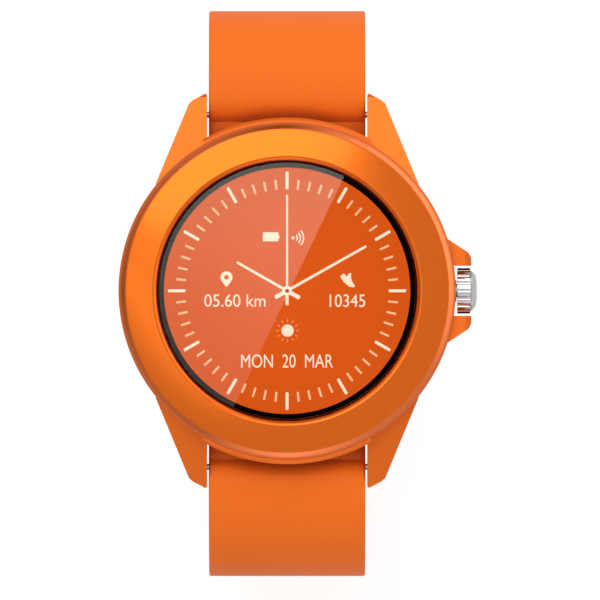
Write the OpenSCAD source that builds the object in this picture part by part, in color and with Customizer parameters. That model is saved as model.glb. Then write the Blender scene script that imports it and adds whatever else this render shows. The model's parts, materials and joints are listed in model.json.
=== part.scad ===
// Round sports watch on a two-part silicone strap, unfastened and curled as on a display cuff.
// +Z leaves the display, +Y points to 12 o'clock and +X to the crown.
// The origin is on the case axis, on the flat outer face of the rear sensor window.

/* [Case] */
// Outer radius of the case wall
case_r = 21.3; // [20:0.1:24]
// Height of the bezel seat above the sensor window's face
case_top = 9.4; // [9.2:0.1:11.2]
// Radius of the inner cavity
cavity_r = 18.4; // [18.2:0.1:19]
// Height of the ledge that the rear cover closes against
ledge_z = 2.1; // [2.1:0.1:2.4]
// How far the shoulder between two lugs stands past the wall
shoulder_past = 0.8; // [0.5:0.1:2]
// Thickness of that shoulder
shoulder_t = 1.2; // [0.8:0.1:1.6]

/* [Lugs] */
// Width of the strap, which the lug gap follows
strap_w = 20; // [16:1:24]
// Gap between the strap and each lug
lug_gap = 0.24; // [0.15:0.01:0.4]
// Distance from the case wall to a spring bar
bar_past = 1.2; // [0.9:0.1:2.5]
// Height of the spring bars
bar_z = 3.8; // [3.6:0.1:4.4]
// How far a lug runs past its spring bar
lug_past_bar = 2.7; // [2.2:0.1:3.4]
// Thickness of a lug's tip, across the strap
lug_tip_w = 2.3; // [1.9:0.1:3.2]
// Width that a lug gains on its way to the case
lug_flare = 4.25; // [3:0.25:5]

/* [Bezel and glass] */
// Outer radius of the bezel
bezel_r = 21.5; // [21:0.1:24.4]
// Rise of the bezel above its seat
bezel_h = 2.0; // [1.7:0.1:2.6]
// Width of the steep outer band
band_w = 0.9; // [0.6:0.1:1.4]
// Radius of the cover glass
glass_r = 16.6; // [16.2:0.1:16.9]
// Thickness of the cover glass
glass_t = 1.3; // [1:0.1:1.4]
// Radius of the display module
display_r = 15.7; // [15:0.1:15.8]
// Thickness of the display module
display_t = 1.7; // [1.2:0.1:1.7]

/* [Crown] */
// Radius over the flutes
crown_r = 2.9; // [2.5:0.1:3.1]
// Length of the fluted part
crown_len = 1.66; // [1.4:0.02:2]
// Length of the end cap
cap_len = 0.82; // [0.6:0.02:1.2]
// Number of flutes
flutes = 18; // [14:1:22]
// Height of the crown's axis
crown_z = 5.5; // [5.4:0.1:5.6]
// Travel of the crown when it is pushed
crown_travel = 0.35; // [0.2:0.05:0.35]
// Radius of the stem
stem_r = 0.85; // [0.75:0.01:0.9]
// Outer radius of the stem tube
tube_r = 1.4; // [1.3:0.05:1.45]
// Width of the notch between the crown guards
guard_gap = 6.4; // [6.3:0.1:7]
// Reach of the guards past the case wall
guard_out = 2.2; // [1.8:0.1:2.5]

/* [Strap] */
// Thickness of the strap
strap_t = 2.4; // [2:0.1:2.6]
// Thickness where the strap meets the lugs
strap_lug_t = 3.8; // [3.6:0.1:4]
// Height of the strap's top face at the lugs
strap_top = 6.3; // [6.2:0.1:6.4]
// How much narrower the strap is below the curve
strap_taper = 2; // [0:0.5:4]
// Outermost reach of the buckle half
upper_reach = 35.9; // [34:0.1:42]
// Straight side of the buckle half
upper_side = 24; // [21:0.5:26]
// Lean of that side in degrees, inwards of upright
upper_lean = 11; // [9:1:13]
// Radius of the buckle half's lower curve
upper_low_r = 22; // [20:1:26]
// Turn of that curve in degrees
upper_turn = 55; // [46:1:58]
// Outermost reach of the half with the holes
lower_reach = 36.6; // [34:0.1:42]
// Depth from the strap's top face to the resting face
loop_depth = 61.6; // [60:0.2:74]
// Radius of the lower curve of the half with the holes
lower_low_r = 16; // [12:1:20]
// How far the tip runs past the case axis
tip_past = 10; // [6:0.5:10.5]
// Number of buckle holes
holes = 8; // [5:1:9]
// Distance between two buckle holes
hole_pitch = 5.5; // [5:0.1:6.2]
// Distance from the tip to the first hole
hole_first = 17; // [14:1:20]
// Radius of a buckle hole
hole_r = 1.15; // [1:0.05:1.3]

/* [Buckle] */
// Length of the frame past its pin
frame_len = 10.5; // [9.5:0.1:12]
// Thickness of the frame
frame_t = 2.2; // [2:0.1:2.6]
// Width of the frame's end bar
frame_bar = 2.0; // [1.6:0.1:2.6]
// Width of each arm
frame_arm = 1.75; // [1.4:0.05:2.4]
// Width of the tongue
tongue_w = 2.2; // [1.8:0.1:2.4]
// Radius of the buckle pin
pin_r = 0.7; // [0.5:0.05:0.8]
// Length of a keeper along the strap
keeper_len = 5; // [4:0.5:6]
// Wall of a keeper
keeper_t = 1.1; // [0.8:0.1:1.4]

/* [Inside] */
// Radius of the circuit board
board_r = 17.5; // [17:0.1:18]
// Thickness of the circuit board
board_t = 0.8; // [0.6:0.1:0.8]
// Length, width and thickness of the battery
battery_size = [18, 19.6, 2.8];
// Radius of the vibration motor
motor_r = 3.5; // [3:0.1:3.6]
// Height of the vibration motor
motor_h = 2.7; // [2.2:0.1:3]
// Radius of the screws' circle
screw_circle = 16.8; // [16.6:0.1:16.9]
// Distance between the charging contacts
contact_pitch = 5; // [4:0.5:6]

/* [Fits] */
// Radial clearance of a shaft that turns
running = 0.06; // [0.02:0.01:0.1]
// Gap around a piece that is dropped in
seat = 0.1; // [0.05:0.01:0.2]
// Radial gap around a pressed or glued pin
press = 0.02; // [0.01:0.01:0.04]

/* [Hidden] */
$fn = 64;
eps = 0.01;

// Case and cover levels
cover_r = cavity_r + 1.0;
cover_t = 1.2;
back_z = ledge_z - cover_t;
rim_z = back_z + 0.4;
shoulder_r = case_r + shoulder_past;
window_r = 6.95;
window_t = 0.8;
light_r = 5.8;
boss_r = 1.5;
boss_z = ledge_z + 0.1;
boss_top = 5.85;
screw_r = 0.7;

// Display stack, hung from the bezel seat
glass_z = case_top + 0.3;
gasket_t = 0.2;
display_z = glass_z - display_t;
lip_r = glass_r + seat;
spigot_r = cavity_r - seat;
spigot_h = 1.2;

// Board stack, stood on the ledge
board_z = boss_top + 0.1;
board_top = board_z + board_t;
chassis_z = board_top + 0.3;
chassis_t = min(0.7, display_z - chassis_z - 0.25);
chassis_r = cavity_r - 0.3;
pad_t = 0.3;
sensor_board_t = 0.45;
battery_z = ledge_z + sensor_board_t + pad_t;
battery_x = -4;
motor_at = [9.8, -6.8];
antenna_at = [10, 7];
antenna_h = 1.9;
magnet_at = [7.5, -13];
contact_y = -14.5;

// Crown line, from the case wall inwards
crown_gap = crown_travel + 0.07;
crown_x = case_r + crown_gap;
tube_end = case_r + 0.3;
tube_start = cavity_r - 1.0;
washer_t = 0.35;
clip_t = 0.25;
line_gap = 0.05;
clip_x = tube_start - 2 * line_gap - washer_t - clip_t;
stem_tip = clip_x - 1.15;
plunger_r = 0.55;
plunger_len = 2.2;
plunger_x = stem_tip - line_gap;
switch_front = plunger_x - 1.3;
switch_len = 2.4;
switch_w = 4.6;
notch_w = switch_w + 2.8;
plate_x = switch_front - switch_len;
plate_t = 0.3;
seal_r = 0.17;
seals_at = [18.6, 19.8];

// Spring bars and strap ends
bar_y = case_r + bar_past;
strap_low_w = strap_w - strap_taper;
gap_half = strap_w / 2 + lug_gap;
bar_r = 0.75;
bar_tip_r = 0.4;
bar_core = 3.7;
bar_half = strap_w / 2 - 0.7;
bar_in_lug = 0.8;
release = 1.25;
tip_end = bar_core + release + 0.35;
knob_x = bar_half - 1.8;
knob_r = 0.4;
knob_len = 1.9;
lip_len = 1.85;
crease_y = bar_y - 0.9;
crease_drop = 1.4;
roll_y = bar_y + 2.3;
pocket_r = 3.15;

// Strap curves: [first radius, its turn, straight side, second radius, its turn, flat]
taper_len = 14;
upper_top_r = upper_reach - roll_y;
lower_top_r = lower_reach - roll_y;
lower_side = loop_depth - lower_top_r - lower_low_r;
lower_flat = lower_reach - lower_low_r + tip_past;
upper_path = [upper_top_r, 90 + upper_lean, upper_side, upper_low_r, upper_turn, 0];
lower_path = [lower_top_r, 90, lower_side, lower_low_r, 90, lower_flat];
arc_steps = 16;
width_from = strap_top - max(upper_top_r, lower_top_r) - 0.5;
width_to = width_from - 11;

// Buckle and keepers, measured along the strap's outer face
arm_in = strap_low_w / 2 + 0.25;
eye_r = 1.5;
tongue_gap = 0.3;
fixed_back = 13;
free_at = side_end(upper_path) - 3.4;
keeper_room = strap_t + 0.5;

case_color = [0.95, 0.44, 0.12];
strap_color = [0.98, 0.47, 0.13];
steel = [0.78, 0.79, 0.8];
dark = [0.07, 0.07, 0.08];

// ---- helpers ----

function arc_len(r, turn) = r * PI * turn / 180;

function side_end(path) = arc_len(path[0], path[1]) + path[2];

function path_end(path) = side_end(path) + arc_len(path[3], path[4]) + path[5];

// Places are [outward, height, slope below level]: after a curve, and after a straight run
function curved(p, r, turn) = [
    p[0] + r * (sin(p[2] + turn) - sin(p[2])),
    p[1] + r * (cos(p[2] + turn) - cos(p[2])),
    p[2] + turn
];

function straight(p, run) = [p[0] + run * cos(p[2]), p[1] - run * sin(p[2]), p[2]];

// Place on the strap's outer face at the distance s
function strap_at(path, s) =
    let (
        first = arc_len(path[0], path[1]),
        past = max(s - side_end(path), 0),
        roll_end = [roll_y, strap_top, 0],
        top = curved(roll_end, path[0], min(s / path[0] * 180 / PI, path[1])),
        low = straight(top, min(max(s - first, 0), path[2])),
        end = curved(low, path[3], min(past / path[3] * 180 / PI, path[4]))
    )
    straight(end, max(past - arc_len(path[3], path[4]), 0));

function inward(p, depth) = [p[0] - depth * sin(p[2]), p[1] - depth * cos(p[2])];

function thickness(s) = max(strap_t, strap_lug_t - (strap_lug_t - strap_t) * s / taper_len);

function stations(path) =
    let (
        first = arc_len(path[0], path[1]),
        turned = arc_len(path[3], path[4])
    )
    concat(
        [for (i = [0:arc_steps]) first * i / arc_steps],
        [for (i = [0:arc_steps]) side_end(path) + turned * i / arc_steps],
        path[5] > 0 ? [path_end(path)] : []
    );

// Knuckle round the buckle pin, from the strap's outer face to its inner face
function knuckle(path) =
    let (
        end = strap_at(path, path_end(path)),
        eye = inward(end, strap_t / 2),
        from = 180 - asin(strap_t / 2 / eye_r)
    )
    [
        for (i = [0:arc_steps])
        let (a = from * (1 - 2 * i / arc_steps) - end[2])
        [eye[0] + eye_r * cos(a), eye[1] + eye_r * sin(a)]
    ];

// Side outline of a strap half: rolled end, lip, outer face, end cap if it has one, inner face
function strap_outline(path, cap = []) =
    let (
        run = roll_y - crease_y,
        roll_a = 2 * atan(crease_drop / run),
        roll_r = run / sin(roll_a),
        crease_z = strap_top - crease_drop,
        under_z = strap_top - strap_lug_t,
        every = stations(path),
        last = len(every) - (len(cap) > 0 ? 2 : 1),
        at = [for (i = [0:last]) every[i]]
    )
    concat(
        [
            [crease_y - lip_len + 1, under_z],
            [crease_y - lip_len, under_z + 0.8],
            [crease_y - lip_len, crease_z]
        ],
        [
            for (i = [0:5])
            let (a = roll_a * (1 - i / 6))
            [roll_y - roll_r * sin(a), strap_top - roll_r * (1 - cos(a))]
        ],
        [for (s = at) let (p = strap_at(path, s)) [p[0], p[1]]],
        cap,
        [for (i = [last:-1:0]) inward(strap_at(path, at[i]), thickness(at[i]))]
    );

module along_x(points, width) {
    rotate([90, 0, 90]) linear_extrude(height = width, center = true) polygon(points);
}

module rod(from_x, to_x, r) {
    translate([from_x, 0, 0]) rotate([0, 90, 0]) cylinder(h = to_x - from_x, r = r);
}

module ring(z, h, outer, inner) {
    translate([0, 0, z]) difference() {
        cylinder(h = h, r = outer);
        translate([0, 0, -1]) cylinder(h = h + 2, r = inner);
    }
}

module box(size, at) {
    translate([at[0] - size[0] / 2, at[1] - size[1] / 2, at[2]]) cube(size);
}

module on_strap(path, s, depth = 0) {
    p = strap_at(path, s);
    q = inward(p, depth);
    translate([0, q[0], q[1]]) rotate([-p[2], 0, 0]) children();
}

module at_screws() {
    for (a = [45:90:315]) rotate([0, 0, a]) translate([screw_circle, 0, 0]) children();
}

module at_crown() {
    translate([0, 0, crown_z]) children();
}

module both_ends() {
    children();
    mirror([0, 1, 0]) children();
}

module four_ways() {
    both_ends() {
        children();
        mirror([1, 0, 0]) children();
    }
}

// ---- case ----

module case_wall() {
    rotate_extrude() polygon([
        [cavity_r, ledge_z], [cover_r + seat, ledge_z], [cover_r + seat, rim_z],
        [case_r - 1, rim_z], [case_r, rim_z + 1.9], [case_r, case_top], [cavity_r, case_top]
    ]);
}

module lug() {
    tip_y = bar_y + lug_past_bar;
    root_y = sqrt(pow(case_r + 0.3, 2) - pow(gap_half + lug_tip_w + lug_flare, 2));
    inner_y = sqrt(pow(cover_r + 0.45, 2) - pow(gap_half, 2));
    intersection() {
        linear_extrude(height = case_top) polygon([
            [gap_half, inner_y], [gap_half, tip_y - 0.2], [gap_half + 0.2, tip_y],
            [gap_half + lug_tip_w - 0.5, tip_y - 0.85], [gap_half + lug_tip_w, tip_y - 1.3],
            [gap_half + lug_tip_w + lug_flare, root_y], [case_r - 5.3, root_y - 1.4]
        ]);
        translate([gap_half + 5, 0, 0]) along_x([
            [root_y - 2, rim_z + 0.2], [tip_y - 1, rim_z + 0.5], [tip_y, rim_z + 1.2],
            [tip_y, bar_z + 1.7], [tip_y - 0.5, bar_z + 2.2], [root_y - 2, case_top - 0.2]
        ], 12);
    }
}

module shoulder() {
    intersection() {
        rotate_extrude() polygon([
            [case_r - 1, case_top - shoulder_t], [shoulder_r - 0.4, case_top - shoulder_t],
            [shoulder_r, case_top - shoulder_t + 0.4], [shoulder_r, case_top - 0.3],
            [shoulder_r - 0.3, case_top], [case_r - 1, case_top]
        ]);
        box([2 * gap_half + 1, shoulder_r + 1, case_top + 1], [0, (shoulder_r + 1) / 2, 0]);
    }
}

module crown_guards() {
    half = guard_gap / 2;
    out = case_r + guard_out;
    intersection() {
        translate([0, 0, rim_z]) linear_extrude(height = case_top - rim_z) both_ends() polygon([
            [cavity_r + 0.9, half], [out, half], [out, half + 0.93], [out - 0.2, half + 1.4],
            [out - 0.45, half + 1.73], [case_r - 0.8, half + 3.4], [cavity_r + 0.9, half + 4.4]
        ]);
        rotate([90, 0, 0]) linear_extrude(height = 20, center = true) polygon([
            [cavity_r, rim_z + 1.1], [out - 0.9, rim_z + 1.1], [out, rim_z + 2.1],
            [out, case_top - 1.5], [out - 0.8, case_top - 0.5], [cavity_r, case_top - 0.5]
        ]);
    }
}

module screw_bosses() {
    at_screws() {
        translate([0, 0, boss_z]) cylinder(h = boss_top - boss_z, r = boss_r);
        box([2.4, 2, boss_top - boss_z], [1.4, 0, boss_z]);
    }
}

module case_middle() {
    color(case_color) difference() {
        union() {
            difference() {
                union() {
                    case_wall();
                    both_ends() shoulder();
                }
                both_ends() translate([0, bar_y, bar_z]) rod(-gap_half - 0.5, gap_half + 0.5, pocket_r);
            }
            four_ways() lug();
            crown_guards();
            screw_bosses();
        }
        both_ends() translate([0, bar_y, bar_z]) {
            rod(-gap_half - bar_in_lug - 0.2, gap_half + bar_in_lug + 0.2, bar_tip_r + running);
        }
        at_screws() translate([0, 0, ledge_z - 1]) cylinder(h = 4.4, r = screw_r + press);
        at_crown() rod(cavity_r - 1, case_r + 1, tube_r + press);
    }
}

module bezel_ring() {
    top = case_top + bezel_h;
    color(case_color) rotate_extrude() polygon([
        [lip_r, top - 0.3], [lip_r, glass_z - gasket_t],
        [display_r + gasket_t, glass_z - gasket_t], [display_r + gasket_t, case_top - 0.5],
        [spigot_r - 1.3, case_top - 0.5], [spigot_r - 1.3, case_top - spigot_h],
        [spigot_r, case_top - spigot_h], [spigot_r, case_top], [bezel_r, case_top],
        [bezel_r, case_top + 0.4], [bezel_r - band_w, top - 0.75], [lip_r + 0.4, top]
    ]);
}

module cover_glass() {
    color([0.1, 0.1, 0.12, 0.4]) rotate_extrude() polygon([
        [0, glass_z], [glass_r, glass_z], [glass_r, glass_z + glass_t - 0.25],
        [glass_r - 0.3, glass_z + glass_t], [0, glass_z + glass_t]
    ]);
}

module glass_gasket() {
    color(dark) ring(glass_z - gasket_t, gasket_t, glass_r + 0.05, display_r + gasket_t + 0.05);
}

module display_panel() {
    color([0.83, 0.34, 0.09]) translate([0, 0, display_z]) cylinder(h = display_t, r = display_r);
}

module display_flex() {
    fold_y = -(board_r - 0.6);
    tape = 0.12;
    color([0.55, 0.35, 0.1]) along_x([
        [-9, display_z], [fold_y - tape, display_z], [fold_y - tape, board_top], [-14, board_top],
        [-14, board_top + tape], [fold_y, board_top + tape], [fold_y, display_z - tape],
        [-9, display_z - tape]
    ], 8);
}

// ---- boards and battery ----

module inner_chassis() {
    color([0.2, 0.2, 0.22]) {
        difference() {
            translate([0, 0, chassis_z]) cylinder(h = chassis_t, r = chassis_r);
            box([19, 16, chassis_t + 2], [-0.5, 1, chassis_z - 1]);
            box([9, 4, chassis_t + 2], [0, -(board_r + 0.6), chassis_z - 1]);
        }
        at_screws() translate([0, 0, boss_top]) cylinder(h = chassis_z - boss_top, r = 1.2);
    }
}

module main_board() {
    color([0.06, 0.25, 0.16]) difference() {
        translate([0, 0, board_z]) cylinder(h = board_t, r = board_r);
        at_screws() translate([0, 0, board_z - 1]) cylinder(h = board_t + 2, r = 1.2 + 0.3);
        box([12, notch_w, board_t + 2], [plate_x - plate_t - line_gap + 6, 0, board_z - 1]);
    }
}

module shield_can() {
    color(steel) box([12, 12, 0.85], [-3.2, 1.4, board_top]);
}

module board_chips() {
    color(dark) {
        box([3, 4, 0.75], [5.6, 4, board_top]);
        box([2.4, 2.4, 0.7], [5.6, -1.6, board_top]);
        box([3.2, 1.6, 0.6], [5.6, -5.2, board_top]);
        for (x = [-9:3:9]) box([1.2, 0.6, 0.22], [x, 10.6, board_top]);
        for (y = [-4:2:4]) box([1.6, 1, 0.22], [-13.5, y, board_top]);
    }
}

module gps_antenna() {
    color([0.9, 0.86, 0.76]) {
        box([6, 6, antenna_h - 0.15], [antenna_at[0], antenna_at[1], board_z - antenna_h + 0.15]);
        box([4.6, 4.6, 0.15], [antenna_at[0], antenna_at[1], board_z - antenna_h]);
    }
}

module battery() {
    color([0.7, 0.71, 0.73]) {
        box(battery_size, [battery_x, 0, battery_z]);
        box([7, 1.2, 1.2], [battery_x, battery_size[1] / 2 + 0.6, battery_z + 0.8]);
    }
}

module battery_pad() {
    color([0.15, 0.15, 0.16]) {
        box([battery_size[0] - 2, battery_size[1] - 2, pad_t], [battery_x, 0, battery_z - pad_t]);
    }
}

module motor_can() {
    color(steel) translate([motor_at[0], motor_at[1], ledge_z]) difference() {
        cylinder(h = motor_h, r = motor_r);
        translate([0, 0, -1]) cylinder(h = motor_h + 0.8, r = motor_r - 0.3);
    }
}

module motor_base() {
    color([0.75, 0.6, 0.3]) translate([motor_at[0], motor_at[1], ledge_z]) {
        cylinder(h = 0.25, r = motor_r - 0.3);
        cylinder(h = motor_h - 0.2, r = 0.35);
    }
}

module motor_rotor() {
    rotor_r = motor_r - 0.6;
    color([0.45, 0.45, 0.47]) translate([motor_at[0], motor_at[1], ledge_z + 0.45]) difference() {
        union() {
            intersection() {
                cylinder(h = motor_h - 1, r = rotor_r);
                box([2 * rotor_r, rotor_r, motor_h], [0, -rotor_r / 2, 0]);
            }
            cylinder(h = motor_h - 1, r = 0.9);
        }
        translate([0, 0, -1]) cylinder(h = motor_h + 1, r = 0.35 + running);
    }
}

// ---- rear ----

module rear_cover() {
    color(case_color) difference() {
        rotate_extrude() polygon([
            [light_r, window_t], [window_r + seat, window_t], [window_r + seat, 0.2], [9, 0.2],
            [12.5, back_z], [cover_r - 0.4, back_z], [cover_r, rim_z], [cover_r, ledge_z],
            [cover_r - 0.25, ledge_z], [cover_r - 0.25, ledge_z - 0.5],
            [cover_r - 0.85, ledge_z - 0.5], [cover_r - 0.85, ledge_z], [light_r, ledge_z]
        ]);
        at_screws() {
            translate([0, 0, back_z - 1]) cylinder(h = 1.5, r = 1.45);
            translate([0, 0, back_z - 1]) cylinder(h = 4, r = screw_r + 0.1);
        }
        for (side = [-1, 1]) {
            translate([side * contact_pitch / 2, contact_y, 0]) cylinder(h = 4, r = 0.9 + press);
            translate([side * magnet_at[0], magnet_at[1], ledge_z - 0.4]) cylinder(h = 2, r = 1.52);
        }
    }
}

module rear_gasket() {
    color([0.2, 0.2, 0.2]) ring(ledge_z - 0.5, 0.5, cover_r - 0.25, cover_r - 0.85);
}

module rear_screws() {
    color(steel) at_screws() difference() {
        union() {
            translate([0, 0, back_z + 0.05]) cylinder(h = 0.45, r = 1.35);
            translate([0, 0, back_z + 0.4]) cylinder(h = 3.8, r = screw_r);
        }
        box([1.7, 0.3, 0.6], [0, 0, back_z - 0.3]);
        box([0.3, 1.7, 0.6], [0, 0, back_z - 0.3]);
    }
}

module sensor_window() {
    color(dark) cylinder(h = window_t, r = window_r);
}

module sensor_board() {
    color([0.06, 0.25, 0.16]) translate([0, 0, ledge_z]) cylinder(h = sensor_board_t, r = 8.2);
}

module sensor_leds() {
    top = ledge_z;
    color([0.5, 0.8, 0.4]) {
        box([2, 2, 0.7], [0, 0, top - 0.7]);
        for (a = [0:90:270]) rotate([0, 0, a]) box([1.4, 2, 0.5], [4.1, 0, top - 0.5]);
        ring(window_t + line_gap, top - window_t - line_gap, 2.6, 2.2);
    }
}

module charge_contacts() {
    color([0.85, 0.66, 0.3]) for (side = [-1, 1]) {
        translate([side * contact_pitch / 2, contact_y, back_z - 0.1]) cylinder(h = 1.6, r = 0.9);
    }
}

module charge_magnets() {
    color(steel) for (side = [-1, 1]) {
        translate([side * magnet_at[0], magnet_at[1], ledge_z - 0.4]) cylinder(h = 1.4, r = 1.5);
    }
}

// ---- crown and its switch ----

module crown() {
    flute_r = 0.34;
    color([0.85, 0.85, 0.87]) at_crown() difference() {
        union() {
            rod(crown_x, crown_x + crown_len, crown_r);
            translate([crown_x + crown_len, 0, 0]) rotate([0, 90, 0]) rotate_extrude() polygon([
                [0, -eps], [crown_r - 0.35, -eps], [crown_r - 0.4, 0.25],
                [crown_r - 0.9, cap_len - 0.15], [crown_r - 1.7, cap_len], [0, cap_len]
            ]);
        }
        for (i = [0:flutes - 1]) rotate([i * 360 / flutes, 0, 0]) {
            translate([0, 0, crown_r + 0.12]) rod(crown_x - 1, crown_x + crown_len, flute_r);
        }
        rod(crown_x - 1, crown_x + 0.6, tube_r + 0.2);
        rod(crown_x, crown_x + 1.2, stem_r + press);
    }
}

module crown_stem() {
    color(steel) at_crown() difference() {
        rod(stem_tip, crown_x + 1.2, stem_r);
        for (x = seals_at) difference() {
            rod(x - 0.22, x + 0.22, stem_r + 1);
            rod(x - 1, x + 1, stem_r - 2 * seal_r + 0.04);
        }
    }
}

module crown_seals() {
    color(dark) at_crown() for (x = seals_at) {
        translate([x, 0, 0]) rotate([0, 90, 0]) rotate_extrude() {
            translate([stem_r + running - seal_r - 0.02, 0]) circle(r = seal_r);
        }
    }
}

module crown_clip() {
    color(steel) at_crown() difference() {
        rod(clip_x, clip_x + clip_t, tube_r - 0.05);
        rod(clip_x - 1, clip_x + 1, stem_r + press);
    }
}

module crown_washer() {
    from = clip_x + clip_t + line_gap;
    color([0.9, 0.9, 0.85]) at_crown() difference() {
        rod(from, from + washer_t, tube_r - 0.05);
        rod(from - 1, from + 1, stem_r + running);
    }
}

module crown_tube() {
    color(steel) at_crown() difference() {
        rod(tube_start, tube_end, tube_r);
        rod(tube_start - 1, tube_end + 1, stem_r + running);
    }
}

module switch_body() {
    color(dark) at_crown() difference() {
        box([switch_len, switch_w, 2.8], [plate_x + switch_len / 2, 0, -1.4]);
        rod(plunger_x - plunger_len - crown_travel - line_gap, plunger_x, plunger_r + running);
    }
}

module switch_plunger() {
    color([0.9, 0.9, 0.9]) at_crown() rod(plunger_x - plunger_len, plunger_x, plunger_r);
}

module switch_bracket() {
    color(steel) {
        box([plate_t, 6, board_top + 0.2 - 4], [plate_x - plate_t / 2, 0, 4]);
        box([2.5, 6, 0.2], [plate_x - plate_t - 1.25 + eps, 0, board_top]);
    }
}

module switch_flex() {
    edge = switch_w / 2;
    fold = notch_w / 2 - 0.2;
    tape = 0.12;
    color([0.55, 0.35, 0.1]) translate([plate_x + switch_len / 2, 0, 0]) along_x([
        [-edge, crown_z], [-fold, crown_z], [-fold, board_top], [-fold - 2, board_top],
        [-fold - 2, board_top + tape], [-fold + tape, board_top + tape],
        [-fold + tape, crown_z + tape], [-edge, crown_z + tape]
    ], 1.6);
}

// ---- strap ----

module strap_blank(outline) {
    half = strap_w / 2;
    low = strap_low_w / 2;
    intersection() {
        along_x(outline, strap_w);
        rotate([90, 0, 0]) linear_extrude(height = 200, center = true) polygon([
            [-half, strap_top + 1], [-half, width_from], [-low, width_to], [-low, -99],
            [low, -99], [low, width_to], [half, width_from], [half, strap_top + 1]
        ]);
    }
}

module bar_hole() {
    translate([0, bar_y, bar_z]) {
        rod(-strap_w, strap_w, bar_r + 0.03);
        box([release + 2 * knob_r + 0.5, 2 * knob_r + 0.5, 4], [knob_x - release / 2, 0, -4]);
    }
}

module strap_upper() {
    color(strap_color) difference() {
        strap_blank(strap_outline(upper_path, knuckle(upper_path)));
        bar_hole();
        at_buckle() {
            rod(-strap_w, strap_w, pin_r + press);
            box([tongue_w + 2 * tongue_gap, 7, 8], [0, 1.2, -4]);
        }
    }
}

module strap_lower() {
    end = path_end(lower_path);
    tip = strap_low_w / 2;
    color(strap_color) mirror([0, 1, 0]) difference() {
        strap_blank(strap_outline(lower_path));
        bar_hole();
        for (i = [0:holes - 1]) {
            on_strap(lower_path, end - hole_first - i * hole_pitch) {
                cylinder(h = 4 * strap_t, r = hole_r, center = true);
            }
        }
        on_strap(lower_path, end - tip) difference() {
            box([3 * tip, tip + 1, 4 * strap_t], [0, (tip + 1) / 2, -2 * strap_t]);
            cylinder(h = 5 * strap_t, r = tip, center = true);
        }
    }
}

module spring_bar() {
    deep = bar_half - bar_core;
    color(steel) translate([0, bar_y, bar_z]) difference() {
        rod(-bar_half, bar_half, bar_r);
        rod(-bar_half - 1, -bar_half + deep, bar_tip_r + running);
        rod(bar_half - deep, bar_half + 1, bar_tip_r + running);
        box([release + 2 * knob_r + 0.2, 2 * knob_r + 0.1, 2], [knob_x - release / 2, 0, -2]);
    }
}

module bar_tip() {
    color(steel) translate([0, bar_y, bar_z]) {
        rod(-gap_half - bar_in_lug, -tip_end, bar_tip_r);
    }
}

module bar_release() {
    color(steel) translate([0, bar_y, bar_z]) {
        rod(tip_end, gap_half + bar_in_lug, bar_tip_r);
        translate([knob_x, 0, -knob_len]) cylinder(h = knob_len, r = knob_r);
    }
}

module upper_bar() { spring_bar(); }
module upper_bar_tip() { bar_tip(); }
module upper_bar_release() { bar_release(); }
module lower_bar() { mirror([0, 1, 0]) spring_bar(); }
module lower_bar_tip() { mirror([0, 1, 0]) bar_tip(); }
module lower_bar_release() { mirror([0, 1, 0]) bar_release(); }

// ---- buckle and keepers ----

module at_buckle() {
    on_strap(upper_path, path_end(upper_path), strap_t / 2) children();
}

module buckle_frame() {
    out = arm_in + frame_arm;
    round_r = 2.2;
    color(steel) at_buckle() difference() {
        union() {
            for (side = [-1, 1]) {
                translate([side * (arm_in + frame_arm / 2), 0, 0]) {
                    rod(-frame_arm / 2, frame_arm / 2, frame_t / 2);
                    box([frame_arm, frame_len - round_r, frame_t],
                        [0, (frame_len - round_r) / 2, -frame_t / 2]);
                }
                translate([side * (out - round_r), frame_len - round_r, 0]) {
                    cylinder(h = frame_t, r = round_r, center = true);
                }
            }
            box([2 * (out - round_r), frame_bar, frame_t],
                [0, frame_len - frame_bar / 2, -frame_t / 2]);
        }
        translate([0, 0, -frame_t]) linear_extrude(height = 2 * frame_t) square(
            [2 * arm_in, 2 * (frame_len - frame_bar)], center = true);
        rod(-arm_in - frame_arm + 0.5, arm_in + frame_arm - 0.5, pin_r + running);
        box([tongue_w + 2 * tongue_gap, 2 * frame_bar, frame_t],
            [0, frame_len, frame_t / 2 - 0.6]);
    }
}

module buckle_tongue() {
    seat_w = frame_t / 2 - 0.6 + 0.15;
    color(steel) at_buckle() difference() {
        union() {
            rod(-tongue_w / 2, tongue_w / 2, eye_r - 0.1);
            along_x([
                [0, -0.6], [2.5, -0.55], [frame_len - frame_bar - 0.5, seat_w],
                [frame_len + 0.2, seat_w], [frame_len + 0.2, seat_w + 0.5],
                [frame_len - 0.4, seat_w + 0.9], [frame_len - frame_bar - 0.8, seat_w + 0.9],
                [2.5, 0.75], [0, 1]
            ], tongue_w);
        }
        rod(-tongue_w, tongue_w, pin_r + running);
    }
}

module buckle_pin() {
    color(steel) at_buckle() rod(-arm_in - frame_arm + 0.6, arm_in + frame_arm - 0.6, pin_r);
}

module keeper(gap) {
    half = strap_low_w / 2 + gap;
    low = -strap_t - 0.35;
    translate([0, -keeper_len / 2, 0]) rotate([-90, 0, 0]) linear_extrude(height = keeper_len) {
        mirror([0, 1]) difference() {
            translate([-half - keeper_t, low - keeper_t]) {
                square([2 * (half + keeper_t), keeper_room - low + 2 * keeper_t]);
            }
            translate([-half, low]) square([2 * half, keeper_room - low]);
        }
    }
}

module keeper_fixed() {
    color(strap_color) on_strap(upper_path, path_end(upper_path) - fixed_back) keeper(0);
}

module keeper_free() {
    color(strap_color) on_strap(upper_path, free_at) keeper(0.3);
}

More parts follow.
